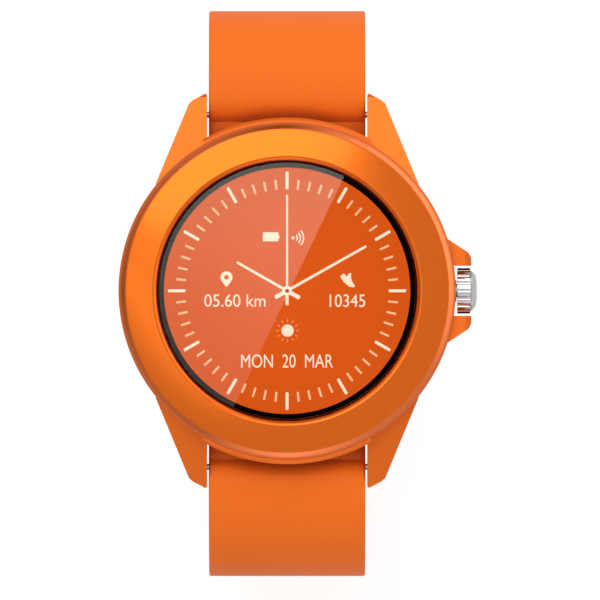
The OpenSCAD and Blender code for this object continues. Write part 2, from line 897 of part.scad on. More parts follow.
case_middle();
bezel_ring();
cover_glass();
glass_gasket();
display_panel();
display_flex();
inner_chassis();
main_board();
shield_can();
board_chips();
gps_antenna();
battery();
battery_pad();
motor_can();
motor_base();
motor_rotor();
rear_cover();
rear_gasket();
rear_screws();
sensor_window();
sensor_board();
sensor_leds();
charge_contacts();
charge_magnets();
crown();
crown_stem();
crown_seals();
crown_clip();
crown_washer();
crown_tube();
switch_body();
switch_plunger();
switch_bracket();
switch_flex();
strap_upper();
upper_bar();
upper_bar_tip();
upper_bar_release();
strap_lower();
lower_bar();
lower_bar_tip();
lower_bar_release();
buckle_frame();
buckle_tongue();
buckle_pin();
keeper_fixed();
keeper_free();
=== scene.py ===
"""Looks of a round orange sports watch on an unfastened, curled silicone strap.

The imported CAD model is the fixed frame. New pieces are modelled in millimetres on the bench and
scaled to metres when they ride on their body.
"""

import json
import logging
import math
from collections.abc import Callable, Iterable, Sequence
from dataclasses import dataclass, field
from enum import Enum
from typing import ClassVar

import bmesh
import bpy
from mathutils import Matrix, Vector


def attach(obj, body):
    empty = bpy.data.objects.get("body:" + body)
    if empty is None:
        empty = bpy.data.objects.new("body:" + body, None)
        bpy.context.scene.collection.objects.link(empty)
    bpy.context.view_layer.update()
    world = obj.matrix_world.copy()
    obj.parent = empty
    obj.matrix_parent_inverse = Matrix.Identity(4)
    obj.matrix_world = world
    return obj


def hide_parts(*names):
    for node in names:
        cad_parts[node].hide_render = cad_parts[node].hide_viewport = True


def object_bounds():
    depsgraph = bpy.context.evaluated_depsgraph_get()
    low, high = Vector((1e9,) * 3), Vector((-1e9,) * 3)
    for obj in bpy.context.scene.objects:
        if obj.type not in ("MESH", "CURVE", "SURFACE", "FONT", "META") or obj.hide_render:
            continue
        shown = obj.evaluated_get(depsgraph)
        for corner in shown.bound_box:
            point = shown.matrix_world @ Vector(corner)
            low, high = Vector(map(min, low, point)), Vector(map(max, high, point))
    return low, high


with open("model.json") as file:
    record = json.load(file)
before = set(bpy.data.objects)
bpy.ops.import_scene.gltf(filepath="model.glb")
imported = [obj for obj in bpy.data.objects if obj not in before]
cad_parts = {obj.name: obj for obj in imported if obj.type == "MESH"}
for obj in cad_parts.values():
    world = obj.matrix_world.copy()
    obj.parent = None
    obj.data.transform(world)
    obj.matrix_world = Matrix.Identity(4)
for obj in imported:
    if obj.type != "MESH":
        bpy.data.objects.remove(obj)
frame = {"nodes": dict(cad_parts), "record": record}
CAD_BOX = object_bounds()

LOG = logging.getLogger("watch")
MM = 0.001
Object = bpy.types.Object
Color = tuple[float, float, float]
Place = tuple[float, float, float]


# ---- bench: operators shared by all pieces -------------------------------------------------


class Pick(Enum):
    """Kind of mesh part that is selected in edit mode."""

    VERTS = "VERT"
    EDGES = "EDGE"
    FACES = "FACE"


class Cut(Enum):
    """What a tool solid does to a piece."""

    AWAY = "DIFFERENCE"
    ADD = "UNION"


def clear_selection() -> None:
    """Goes to object mode with nothing selected."""
    active = bpy.context.view_layer.objects.active
    if active is not None and active.mode != "OBJECT":
        bpy.ops.object.mode_set(mode="OBJECT")
    bpy.ops.object.select_all(action="DESELECT")


def activate(obj: Object) -> None:
    """Makes one object the only selected and active one, in object mode.

    Args:
        obj: Object to activate.
    """
    clear_selection()
    obj.select_set(True)
    bpy.context.view_layer.objects.active = obj


def settle(obj: Object) -> Object:
    """Moves an object's place, turn and scale into its mesh.

    Args:
        obj: Object to settle.

    Returns:
        The same object, at the origin and unscaled.
    """
    activate(obj)
    bpy.ops.object.transform_apply(location=True, rotation=True, scale=True)
    return obj


def block(name: str, size: Place, at: Place = (0, 0, 0)) -> Object:
    """Adds a box.

    Args:
        name: Name of the object.
        size: Full size along X, Y and Z in millimetres.
        at: Centre.

    Returns:
        The new object, with its place in its mesh.
    """
    clear_selection()
    bpy.ops.mesh.primitive_cube_add(size=1, location=at)
    obj = bpy.context.object
    obj.name, obj.scale = name, size
    return settle(obj)


def rod(name: str, radius: float, length: float, at: Place = (0, 0, 0), along: str = "Z",
        sides: int = 48) -> Object:
    """Adds a cylinder.

    Args:
        name: Name of the object.
        radius: Radius in millimetres.
        length: Length in millimetres.
        at: Centre.
        along: Axis of the cylinder, X, Y or Z.
        sides: Number of sides.

    Returns:
        The new object, with its place in its mesh.
    """
    turn = {"X": (0, math.pi / 2, 0), "Y": (math.pi / 2, 0, 0), "Z": (0, 0, 0)}[along]
    clear_selection()
    bpy.ops.mesh.primitive_cylinder_add(
        vertices=sides, radius=radius, depth=length, location=at, rotation=turn)
    obj = bpy.context.object
    obj.name = name
    return settle(obj)


def pick(obj: Object, kind: Pick, test: Callable[..., bool]) -> int:
    """Selects the parts of a mesh that pass a test, and stays in edit mode.

    Args:
        obj: Object to edit.
        kind: Vertices, edges or faces.
        test: Called with each part.

    Returns:
        Number of parts selected.
    """
    activate(obj)
    bpy.ops.object.mode_set(mode="EDIT")
    bpy.ops.mesh.select_mode(type=kind.value)
    bpy.ops.mesh.select_all(action="DESELECT")
    shape = bmesh.from_edit_mesh(obj.data)
    parts = {Pick.VERTS: shape.verts, Pick.EDGES: shape.edges, Pick.FACES: shape.faces}[kind]
    chosen = [part for part in parts if test(part)]
    for part in chosen:
        part.select_set(True)
    shape.select_flush_mode()
    bmesh.update_edit_mesh(obj.data)
    return len(chosen)


def leave_edit_mode() -> None:
    """Goes back to object mode after an edit."""
    bpy.ops.object.mode_set(mode="OBJECT")


def middle(edge: bmesh.types.BMEdge) -> Vector:
    """Middle point of an edge."""
    return (edge.verts[0].co + edge.verts[1].co) / 2


def runs_along(edge: bmesh.types.BMEdge, axis: int) -> bool:
    """Whether an edge is parallel to a main axis."""
    way = edge.verts[1].co - edge.verts[0].co
    return abs(way[axis]) > 0.999 * way.length


def round_edges(obj: Object, test: Callable[..., bool], width: float, steps: int = 3) -> None:
    """Bevels the edges that pass a test.

    Args:
        obj: Object to edit.
        test: Called with each edge.
        width: Width of the bevel in millimetres.
        steps: Segments across the bevel.
    """
    if pick(obj, Pick.EDGES, test):
        bpy.ops.mesh.bevel(offset=width, segments=steps, profile=0.5, affect="EDGES")
    leave_edit_mode()


def slice_across(obj: Object, stations: Iterable[float]) -> None:
    """Cuts a mesh into strips, so that it can bend.

    Args:
        obj: Object to edit.
        stations: Places of the cuts along Y.
    """
    activate(obj)
    bpy.ops.object.mode_set(mode="EDIT")
    for y in stations:
        bpy.ops.mesh.select_all(action="SELECT")
        bpy.ops.mesh.bisect(plane_co=(0, y, 0), plane_no=(0, 1, 0), threshold=1e-5)
    leave_edit_mode()


def finish_shape(obj: Object, kind: str, **values: object) -> None:
    """Adds a modifier and applies it.

    Args:
        obj: Object to finish.
        kind: Modifier type.
        **values: Properties of the modifier.
    """
    activate(obj)
    modifier = obj.modifiers.new(kind.lower(), kind)
    for name, value in values.items():
        setattr(modifier, name, value)
    bpy.ops.object.modifier_apply(modifier=modifier.name)


def carve(obj: Object, tool: Object, how: Cut = Cut.AWAY) -> None:
    """Applies a tool solid to a piece and removes the tool."""
    finish_shape(obj, "BOOLEAN", operation=how.value, solver="EXACT", object=tool)
    bpy.data.objects.remove(tool)


def join(name: str, parts: Sequence[Object]) -> Object:
    """Joins objects into one piece.

    Args:
        name: Name of the piece.
        parts: Objects to join; the first one takes in the others.

    Returns:
        The joined piece.
    """
    activate(parts[0])
    for part in parts:
        part.select_set(True)
    if len(parts) > 1:
        bpy.ops.object.join()
    parts[0].name = name
    return parts[0]


def copy_turned(obj: Object, turn: float, centre: Place = (0, 0, 0)) -> Object:
    """Copies a piece with its own mesh, turned about a vertical axis.

    Args:
        obj: Piece to copy.
        turn: Turn in radians.
        centre: Point that the axis passes through.

    Returns:
        The copy.
    """
    other = obj.copy()
    other.data = obj.data.copy()
    bpy.context.scene.collection.objects.link(other)
    there = Matrix.Translation(centre)
    other.data.transform(there @ Matrix.Rotation(turn, 4, "Z") @ there.inverted())
    return other


def tidy_mesh(obj: Object, smooth: float = 35.0) -> None:
    """Merges doubles, turns the faces outwards and smooths the shading.

    Args:
        obj: Object to tidy.
        smooth: Angle in degrees below which an edge is shaded smooth.
    """
    activate(obj)
    bpy.ops.object.mode_set(mode="EDIT")
    bpy.ops.mesh.select_all(action="SELECT")
    bpy.ops.mesh.remove_doubles(threshold=1e-4)
    bpy.ops.mesh.normals_make_consistent(inside=False)
    leave_edit_mode()
    bpy.ops.object.shade_smooth_by_angle(angle=math.radians(smooth))


def outline(name: str, points: Sequence[tuple[float, float]], upright: bool = False) -> Object:
    """Draws a closed outline by extruding one point round it.

    Args:
        name: Name of the object.
        points: Places in the drawing plane, in millimetres.
        upright: Draws in the XZ plane instead of the XY plane.

    Returns:
        Object that holds the outline's edges.
    """
    def put(p: tuple[float, float]) -> Vector:
        """Puts a point of the drawing in space."""
        return Vector((p[0], 0, p[1])) if upright else Vector((p[0], p[1], 0))

    clear_selection()
    bpy.ops.mesh.primitive_plane_add(size=0.1, location=put(points[0]))
    obj = bpy.context.object
    obj.name = name
    settle(obj)
    bpy.ops.object.mode_set(mode="EDIT")
    bpy.ops.mesh.select_all(action="SELECT")
    bpy.ops.mesh.merge(type="CENTER")
    for here, there in zip(points, points[1:]):
        bpy.ops.mesh.extrude_region_move(
            TRANSFORM_OT_translate={"value": put(there) - put(here)})
    ends = {0, len(points) - 1}
    pick(obj, Pick.VERTS, lambda v: v.index in ends)
    bpy.ops.mesh.edge_face_add()
    leave_edit_mode()
    return obj


def plate(name: str, points: Sequence[tuple[float, float]], height: float) -> Object:
    """Fills an outline and raises it into a flat plate that stands on z = 0.

    Args:
        name: Name of the object.
        points: Corners of the outline in millimetres.
        height: Thickness of the plate.

    Returns:
        The closed plate.
    """
    obj = outline(name, points)
    bpy.ops.object.mode_set(mode="EDIT")
    bpy.ops.mesh.select_all(action="SELECT")
    bpy.ops.mesh.edge_face_add()
    bpy.ops.mesh.extrude_region_move(TRANSFORM_OT_translate={"value": (0, 0, height)})
    leave_edit_mode()
    return obj


def turned_solid(name: str, points: Sequence[tuple[float, float]], soften: float,
                 corners: Callable[[Vector], bool], steps: int = 192) -> Object:
    """Turns a closed side outline about the Z axis.

    Args:
        name: Name of the object.
        points: Radius and height of each corner, in millimetres.
        soften: Radius that the chosen corners are rounded to.
        corners: Says which corners are rounded.
        steps: Number of steps in the full turn.

    Returns:
        The closed solid.
    """
    obj = outline(name, points, upright=True)
    pick(obj, Pick.VERTS, lambda v: corners(v.co))
    bpy.ops.mesh.bevel(offset=soften, segments=4, profile=0.5, affect="VERTICES")
    bpy.ops.mesh.select_all(action="SELECT")
    bpy.ops.mesh.spin(steps=steps, angle=2 * math.pi, center=(0, 0, 0), axis=(0, 0, 1))
    leave_edit_mode()
    tidy_mesh(obj, 28)
    return obj


# ---- shader effects that several finishes share --------------------------------------------

COLOR_A, COLOR_B, COLOR_OUT = 6, 7, 2    # colour sockets of a Mix node


@dataclass
class Graph:
    """Short calls for a shader node tree."""

    tree: bpy.types.NodeTree

    def add(self, kind: str, inputs: dict | None = None, **settings: object) -> bpy.types.Node:
        """Adds a node.

        Args:
            kind: Node type without its ShaderNode prefix.
            inputs: Value or source socket of each input, by name or number.
            **settings: Properties of the node.

        Returns:
            The new node.
        """
        node = self.tree.nodes.new("ShaderNode" + kind)
        for name, value in settings.items():
            setattr(node, name, value)
        return self.feed(node, inputs or {})

    def feed(self, node: bpy.types.Node, inputs: dict) -> bpy.types.Node:
        """Links or sets the inputs of a node.

        Args:
            node: Node to feed.
            inputs: Value or source socket of each input, by name or number.

        Returns:
            The same node.
        """
        for name, value in inputs.items():
            if isinstance(value, bpy.types.NodeSocket):
                self.tree.links.new(value, node.inputs[name])
            else:
                node.inputs[name].default_value = value
        return node

    def math(self, how: str, a: object, b: object, clamp: bool = False) -> bpy.types.NodeSocket:
        """Adds a math node and gives its output."""
        return self.add("Math", {0: a, 1: b}, operation=how, use_clamp=clamp).outputs[0]

    def mix(self, share: object, a: object, b: object, how: str = "MIX") -> bpy.types.NodeSocket:
        """Mixes two colours.

        Args:
            share: Share of the second colour.
            a: First colour.
            b: Second colour.
            how: Blend type.

        Returns:
            Output with the mixed colour.
        """
        node = self.add("Mix", {"Factor": share, COLOR_A: a, COLOR_B: b}, data_type="RGBA",
                        blend_type=how)
        return node.outputs[COLOR_OUT]

    def group(self, effect: bpy.types.NodeTree, inputs: dict) -> bpy.types.Node:
        """Places a shared effect with this material's values.

        Args:
            effect: The shared shader group.
            inputs: Value or source socket of each of its inputs.

        Returns:
            The group's node.
        """
        node = self.tree.nodes.new("ShaderNodeGroup")
        node.node_tree = effect
        return self.feed(node, inputs)

    def ramp(self, share: object, stops: Sequence[tuple[float, Color]]) -> bpy.types.NodeSocket:
        """Adds a colour ramp.

        Args:
            share: Place along the ramp, from 0 to 1.
            stops: Position and colour of each stop in order, the first at 0 and the last at 1.

        Returns:
            Output with the colour.
        """
        node = self.add("ValToRGB", {0: share})
        marks = node.color_ramp.elements
        marks[0].color, marks[1].color = (*stops[0][1], 1.0), (*stops[-1][1], 1.0)
        for where, color in stops[1:-1]:
            marks.new(where).color = (*color, 1.0)
        return node.outputs[0]

    def distance_from_axis(self) -> bpy.types.NodeSocket:
        """Measures from the upright axis through the object's origin.

        Returns:
            Output with the distance in metres.
        """
        place = self.add("TexCoord").outputs["Object"]
        flat = self.add("VectorMath", {0: place, 1: (1.0, 1.0, 0.0)}, operation="MULTIPLY")
        return self.add("VectorMath", {0: flat.outputs[0]}, operation="LENGTH").outputs["Value"]

    def close(self, shader: bpy.types.Node, kind: str = "OutputMaterial") -> None:
        """Feeds the tree's output with a shader."""
        self.tree.links.new(shader.outputs[0], self.add(kind).inputs[0])


def blank_material(name: str) -> tuple[bpy.types.Material, Graph]:
    """Makes a material with an empty node tree.

    Args:
        name: Material name.

    Returns:
        The material and its graph.
    """
    material = bpy.data.materials.new(name)
    material.use_nodes = True
    material.node_tree.nodes.clear()
    return material, Graph(material.node_tree)


def new_effect(name: str, inputs: dict[str, float | tuple], outputs: dict[str, str]
               ) -> tuple[bpy.types.NodeTree, Graph, bpy.types.Node, bpy.types.Node]:
    """Starts a shader group.

    Args:
        name: Name of the group.
        inputs: Starting value of each input; a tuple of four makes a colour socket.
        outputs: Socket type of each output, Float, Color or Vector.

    Returns:
        The tree, its graph, its input node and its output node.
    """
    tree = bpy.data.node_groups.new(name, "ShaderNodeTree")
    for label, value in inputs.items():
        kind = "NodeSocketColor" if isinstance(value, tuple) else "NodeSocketFloat"
        socket = tree.interface.new_socket(label, in_out="INPUT", socket_type=kind)
        socket.default_value = value
    for label, kind in outputs.items():
        tree.interface.new_socket(label, in_out="OUTPUT", socket_type="NodeSocket" + kind)
    source = tree.nodes.new("NodeGroupInput")
    target = tree.nodes.new("NodeGroupOutput")
    return tree, Graph(tree), source, target


def grain_effect() -> bpy.types.NodeTree:
    """Fine grain for bump and uneven gloss: Height, Roughness and Tone.

    Returns:
        The shader group.
    """
    tree, g, given, out = new_effect(
        "surface_grain",
        {"Scale": 4000.0, "Stretch": 1.0, "Roughness": 0.4, "Range": 0.1},
        {"Height": "Float", "Roughness": "Float", "Tone": "Float"})
    place = g.add("TexCoord").outputs["Object"]
    stretched = g.add("CombineXYZ", {0: 1.0, 1: given.outputs["Stretch"], 2: 1.0}).outputs[0]
    here = g.add("VectorMath", {0: place, 1: stretched}, operation="MULTIPLY").outputs[0]
    fine = g.add("TexNoise", {"Vector": here, "Scale": given.outputs["Scale"], "Detail": 3.0,
                              "Roughness": 0.6}).outputs[0]
    broad = g.add("TexNoise", {"Vector": here,
                               "Scale": g.math("MULTIPLY", given.outputs["Scale"], 0.035),
                               "Detail": 4.0, "Roughness": 0.55}).outputs[0]
    uneven = g.math("MULTIPLY", g.math("SUBTRACT", broad, 0.5), given.outputs["Range"])
    links = tree.links
    links.new(fine, out.inputs["Height"])
    links.new(g.math("ADD", given.outputs["Roughness"], uneven, clamp=True), out.inputs["Roughness"])
    links.new(broad, out.inputs["Tone"])
    return tree


def wear_effect() -> bpy.types.NodeTree:
    """Mask of the edges that hands rub, broken up by noise.

    Returns:
        The shader group.
    """
    tree, g, given, out = new_effect(
        "edge_wear", {"Radius": 0.0002, "Amount": 0.5}, {"Mask": "Float"})
    bent = g.add("Bevel", {"Radius": given.outputs["Radius"]}, samples=4).outputs[0]
    flat = g.add("NewGeometry").outputs["Normal"]
    same = g.add("VectorMath", {0: bent, 1: flat}, operation="DOT_PRODUCT").outputs["Value"]
    edge = g.math("MULTIPLY", g.math("SUBTRACT", 1.0, same), 5.0, clamp=True)
    place = g.add("TexCoord").outputs["Object"]
    patch = g.add("TexNoise", {"Vector": place, "Scale": 900.0, "Detail": 5.0}).outputs[0]
    broken = g.add("MapRange", {0: patch, 1: 0.35, 2: 0.65}).outputs[0]
    mask = g.math("MULTIPLY", g.math("MULTIPLY", edge, broken), given.outputs["Amount"])
    tree.links.new(mask, out.inputs["Mask"])
    return tree


def dust_effect() -> bpy.types.NodeTree:
    """Thin dust that lies on the faces that look up.

    Returns:
        The shader group.
    """
    tree, g, given, out = new_effect(
        "dust", {"Color": (0.5, 0.5, 0.5, 1.0), "Amount": 0.05}, {"Color": "Color"})
    up = g.add("SeparateXYZ", {0: g.add("NewGeometry").outputs["Normal"]}).outputs[2]
    place = g.add("TexCoord").outputs["Object"]
    specks = g.add("TexNoise", {"Vector": place, "Scale": 1500.0, "Detail": 6.0}).outputs[0]
    lying = g.add("MapRange", {0: g.math("MULTIPLY", up, specks), 1: 0.25, 2: 0.7}).outputs[0]
    share = g.math("MULTIPLY", lying, given.outputs["Amount"])
    tree.links.new(g.mix(share, given.outputs["Color"], (0.8, 0.76, 0.7, 1.0)),
                   out.inputs["Color"])
    return tree


def hollow_shade_effect() -> bpy.types.NodeTree:
    """Mask of the narrow hollows, where a finish's colour is darkened as painted shade.

    Returns:
        The shader group.
    """
    tree, g, given, out = new_effect(
        "hollow_shade", {"Reach": 0.0008, "Amount": 0.5}, {"Mask": "Float"})
    open_share = g.add("AmbientOcclusion", {"Distance": given.outputs["Reach"]},
                       samples=8).outputs["AO"]
    closed = g.add("MapRange", {0: open_share, 1: 0.92, 2: 0.5}).outputs[0]
    tree.links.new(g.math("MULTIPLY", closed, given.outputs["Amount"]), out.inputs["Mask"])
    return tree


def polish_effect() -> bpy.types.NodeTree:
    """Level that is higher on the slanting faces outside a radius, which are polished.

    Returns:
        The shader group.
    """
    tree, g, given, out = new_effect(
        "slant_polish", {"Flat": 0.0, "Slant": 1.0, "Radius": 0.019}, {"Value": "Float"})
    up = g.add("SeparateXYZ", {0: g.add("NewGeometry").outputs["Normal"]}).outputs[2]
    slant = g.add("MapRange", {0: up, 1: 0.96, 2: 0.8}).outputs[0]
    outside = g.math("GREATER_THAN", g.distance_from_axis(), given.outputs["Radius"])
    share = g.math("MULTIPLY", slant, outside)
    level = g.add("MapRange", {0: share, 3: given.outputs["Flat"],
                               4: given.outputs["Slant"]}).outputs[0]
    tree.links.new(level, out.inputs["Value"])
    return tree


@dataclass
class Effects:
    """The shared shader groups, built once."""

    grain: bpy.types.NodeTree = field(default_factory=grain_effect)
    wear: bpy.types.NodeTree = field(default_factory=wear_effect)
    dust: bpy.types.NodeTree = field(default_factory=dust_effect)
    hollow: bpy.types.NodeTree = field(default_factory=hollow_shade_effect)
    polish: bpy.types.NodeTree = field(default_factory=polish_effect)


# ---- finishes --------------------------------------------------------------------------------

DEEP_SHADE = 0.12    # share of a finish's colour that is left in a deep hollow, darkened as painted shade


def solid(color: Color, share: float = 1.0) -> tuple[float, float, float, float]:
    """Opaque colour for a socket, scaled by a share."""
    return (*(share * c for c in color), 1.0)


@dataclass(frozen=True)
class Finish:
    """One surface finish.

    Attributes:
        name: Material name.
        color: Main colour.
        rough: Mean roughness.
        uneven: Spread of the roughness.
        tone: How far broad patches darken.
        grain: Grain patterns in a metre.
        depth: Height of the grain in metres.
        stretch: Stretch of the grain along Y, below 1 for brushed lines.
        metal: Metallic share.
        coat: Clear coat weight.
        coat_rough: Clear coat roughness.
        sheen: Sheen weight.
        gloss: Specular level of the uncoated surface.
        tint: Colour of that gloss.
        shade: Painted shade that darkens narrow hollows.
        reach: Width of those hollows in metres.
        slant_coat: Clear coat weight on slanting faces, where it differs.
        wear: Wear of the edges.
        worn: Colour of a worn edge.
        dust: Amount of dust.
    """

    name: str
    color: Color
    rough: float = 0.45
    uneven: float = 0.12
    tone: float = 0.06
    grain: float = 4000.0
    depth: float = 4e-6
    stretch: float = 1.0
    metal: float = 0.0
    coat: float = 0.0
    coat_rough: float = 0.08
    sheen: float = 0.0
    gloss: float = 0.5
    tint: Color = (1.0, 1.0, 1.0)
    shade: float = 0.0
    reach: float = 0.0008
    slant_coat: float = 0.0
    wear: float = 0.0
    worn: Color = (0.95, 0.4, 0.15)
    dust: float = 0.0

    def make(self, effects: Effects) -> bpy.types.Material:
        """Builds the material.

        Args:
            effects: The shared shader groups.

        Returns:
            The new material.
        """
        material, g = blank_material(self.name)
        grain = g.group(effects.grain, {"Scale": self.grain, "Stretch": self.stretch,
                                        "Roughness": self.rough, "Range": self.uneven})
        color = g.mix(grain.outputs["Tone"], solid(self.color), solid(self.color, 1 - self.tone))
        if self.wear:
            mask = g.group(effects.wear, {"Amount": self.wear}).outputs["Mask"]
            color = g.mix(mask, color, solid(self.worn))
        # Painted shade: the colour darkens in the narrow hollows that ambient occlusion finds.
        if self.shade:
            mask = g.group(effects.hollow, {"Reach": self.reach, "Amount": self.shade}
                           ).outputs["Mask"]
            color = g.mix(mask, color, solid(self.color, DEEP_SHADE))
        if self.dust:
            color = g.group(effects.dust, {"Color": color, "Amount": self.dust}).outputs["Color"]
        bump = g.add("Bump", {"Height": grain.outputs["Height"], "Distance": self.depth,
                              "Strength": 0.6})
        coat = self.coat
        if self.slant_coat:
            coat = g.group(effects.polish, {"Flat": self.coat, "Slant": self.slant_coat}
                           ).outputs["Value"]
        shader = g.add("BsdfPrincipled", {
            "Base Color": color, "Roughness": grain.outputs["Roughness"],
            "Normal": bump.outputs[0], "Metallic": self.metal, "Coat Weight": coat,
            "Coat Roughness": self.coat_rough, "Sheen Weight": self.sheen,
            "Specular IOR Level": self.gloss, "Specular Tint": solid(self.tint)})
        g.close(shader)
        return material


@dataclass(frozen=True)
class Clear:
    """Clear cover glass with a faint wipe pattern in its gloss.

    Attributes:
        name: Material name.
        rough: Roughness of the polish.
    """

    name: str
    rough: float = 0.003

    def make(self, effects: Effects) -> bpy.types.Material:
        """Builds the material from the shared grain.

        Args:
            effects: The shared shader groups.

        Returns:
            The new material.
        """
        material, g = blank_material(self.name)
        grain = g.group(effects.grain, {"Scale": 2500.0, "Stretch": 1.0,
                                        "Roughness": self.rough, "Range": 0.006})
        shader = g.add("BsdfPrincipled", {
            "Base Color": (0.99, 0.99, 1.0, 1.0), "Roughness": grain.outputs["Roughness"],
            "IOR": 1.5, "Transmission Weight": 1.0})
        g.close(shader)
        return material


@dataclass(frozen=True)
class Lit:
    """A lit part of the display.

    Attributes:
        name: Material name.
        color: Colour at the centre of the display.
        edge: Colour share that is left at the display's rim.
        radius: Radius of the display in metres.
    """

    name: str
    color: Color
    edge: float = 0.93
    radius: float = 0.0157

    def make(self, effects: Effects) -> bpy.types.Material:
        """Builds the material: emission that falls off to the rim, with the panel's fine cells.

        Args:
            effects: The shared shader groups.

        Returns:
            The new material.
        """
        material, g = blank_material(self.name)
        grain = g.group(effects.grain, {"Scale": 12000.0, "Stretch": 1.0,
                                        "Roughness": 0.35, "Range": 0.05})
        rim = g.add("MapRange", {0: g.distance_from_axis(), 1: 0.4 * self.radius,
                                 2: self.radius}).outputs[0]
        cells = g.mix(g.math("MULTIPLY", grain.outputs["Height"], 0.06), solid(self.color),
                      solid(self.color, 0.5))
        glow = g.mix(rim, cells, solid(self.color, self.edge))
        shader = g.add("BsdfPrincipled", {
            "Base Color": solid(self.color, 0.3),
            "Roughness": grain.outputs["Roughness"], "Emission Color": glow,
            "Emission Strength": 1.0, "Specular IOR Level": 0.0})
        g.close(shader)
        return material


ORANGE = (0.90, 0.165, 0.014)
WARM = (1.0, 0.45, 0.2)
FINISHES: dict[str, Finish | Clear] = {
    "case": Finish("case_lacquer", ORANGE, rough=0.34, uneven=0.06, tone=0.03, grain=9000,
                   depth=1.5e-6, metal=0.55, coat=0.12, coat_rough=0.12, gloss=0.35,
                   tint=WARM, wear=0.25, dust=0.01),
    "bezel": Finish("bezel_lacquer", ORANGE, rough=0.19, uneven=0.05, tone=0.03, grain=12000,
                    depth=1e-6, metal=0.80, coat=0.10, coat_rough=0.05, gloss=0.4, tint=WARM,
                    slant_coat=1.0, wear=0.2),
    "rear": Finish("rear_plastic", (0.82, 0.15, 0.015), rough=0.48, grain=7000, wear=0.15),
    "glass": Clear("cover_glass_clear"),
    "sensor_glass": Finish("sensor_window_black", (0.006, 0.006, 0.008), rough=0.07, uneven=0.04,
                           tone=0.3, coat=1.0, coat_rough=0.02, depth=5e-7),
    "black_seal": Finish("seal_rubber", (0.012, 0.012, 0.013), rough=0.6, tone=0.3),
    "display": Finish("display_back", (0.02, 0.02, 0.022), rough=0.3, tone=0.3, coat=0.5),
    "flex": Finish("flex_film", (0.36, 0.15, 0.03), rough=0.35, tone=0.2, coat=0.4),
    "black_plastic": Finish("black_moulding", (0.02, 0.02, 0.022), rough=0.5, tone=0.3, wear=0.2,
                            worn=(0.08, 0.08, 0.08)),
    "board": Finish("board_mask", (0.01, 0.10, 0.055), rough=0.3, tone=0.35, grain=2500, coat=0.5,
                    wear=0.2, worn=(0.45, 0.4, 0.2)),
    "chip": Finish("chip_resin", (0.018, 0.018, 0.02), rough=0.55, tone=0.3, grain=9000),
    "steel": Finish("steel_satin", (0.56, 0.56, 0.57), rough=0.26, metal=1.0, grain=9000,
                    stretch=0.08, depth=1.5e-6, tone=0.12),
    "ceramic": Finish("antenna_ceramic", (0.78, 0.71, 0.56), rough=0.6, grain=5000),
    "battery": Finish("battery_pouch", (0.52, 0.53, 0.55), rough=0.34, metal=0.9, grain=1500,
                      depth=1e-5, tone=0.15),
    "foam": Finish("foam_pad", (0.02, 0.02, 0.02), rough=0.95, grain=2500, depth=6e-5, tone=0.5),
    "contact": Finish("contact_gold", (0.83, 0.56, 0.18), rough=0.16, metal=1.0, depth=1e-6),
    "magnet": Finish("magnet_nickel", (0.6, 0.58, 0.53), rough=0.2, metal=1.0, depth=1e-6),
    # The chrome crown gets strong painted shade in the hollows between its flutes.
    "crown": Finish("crown_chrome", (0.80, 0.80, 0.82), rough=0.07, uneven=0.05, metal=1.0,
                    depth=5e-7, tone=0.04, shade=0.95),
    "nylon": Finish("nylon", (0.75, 0.75, 0.70), rough=0.5, sheen=0.1),
    # The strap gets painted shade in its crease by the lugs and round its holes.
    "strap": Finish("strap_silicone", (0.97, 0.172, 0.010), rough=0.48, uneven=0.08, tone=0.04,
                    grain=7000, depth=5e-6, sheen=0.10, gloss=0.10, shade=0.50, reach=0.003,
                    dust=0.01),
    "buckle": Finish("buckle_steel", (0.66, 0.66, 0.68), rough=0.2, metal=1.0, grain=8000,
                     stretch=0.06, depth=1e-6, tone=0.08, wear=0.15, worn=(0.8, 0.8, 0.8)),
}
DIAL_FINISHES: dict[str, Lit | Finish] = {
    "face": Lit("dial_orange", (0.640, 0.0905, 0.0078)),
    "mark": Lit("dial_white", (0.98, 0.74, 0.56), edge=1.0),
    "faint": Lit("dial_cream", (0.93, 0.48, 0.27), edge=1.0),
    "ray": Lit("dial_ray", (0.88, 0.25, 0.09), edge=1.0),
    "ink": Finish("border_ink", (0.003, 0.002, 0.002), rough=0.4, tone=0.3, gloss=0.0),
    "hub": Lit("dial_hub", (0.25, 0.05, 0.02), edge=1.0),
}


class Paintbox:
    """Makes each finish once and dresses pieces with it."""

    def __init__(self) -> None:
        """Builds the shared effects and keeps the CAD nodes' slots."""
        self.effects = Effects()
        self.made: dict[str, bpy.types.Material] = {}
        self.slots = {p["node"]: p["material_slot"] for p in frame["record"]["subparts"]}

    def material(self, slot: str) -> bpy.types.Material:
        """Gives the material of a slot or of a dial print, made at its first use.

        Args:
            slot: Name of a material slot or of a print.

        Returns:
            The material.
        """
        if slot not in self.made:
            finish = FINISHES.get(slot) or DIAL_FINISHES[slot]
            self.made[slot] = finish.make(self.effects)
        return self.made[slot]

    def dress(self, obj: Object, slot: str) -> None:
        """Gives a piece one material."""
        obj.data.materials.clear()
        obj.data.materials.append(self.material(slot))

    def dress_cad_nodes(self) -> None:
        """Gives every CAD node the finish of its slot in the record."""
        for name, obj in frame["nodes"].items():
            self.dress(obj, self.slots[name])
        LOG.info("dressed %d CAD nodes", len(frame["nodes"]))

    def deliver(self, obj: Object, body: str, slot: str, look: str | None = None,
                stands_for: Sequence[str] = ()) -> Object:
        """Scales a finished piece to metres, dresses it and lets it ride.

        Args:
            obj: Finished piece in millimetres.
            body: CAD body that it moves with.
            slot: Material slot in the record.
            look: Finish to use where it differs from the slot's own.
            stands_for: CAD nodes that it replaces.

        Returns:
            The same piece.
        """
        settle(obj)
        obj.data.transform(Matrix.Scale(MM, 4))
        self.dress(obj, look or slot)
        clear_selection()
        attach(obj, body)
        if stands_for:
            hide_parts(*stands_for)
        LOG.info("%s rides on %s", obj.name, body)
        return obj


# ---- bezel -----------------------------------------------------------------------------------


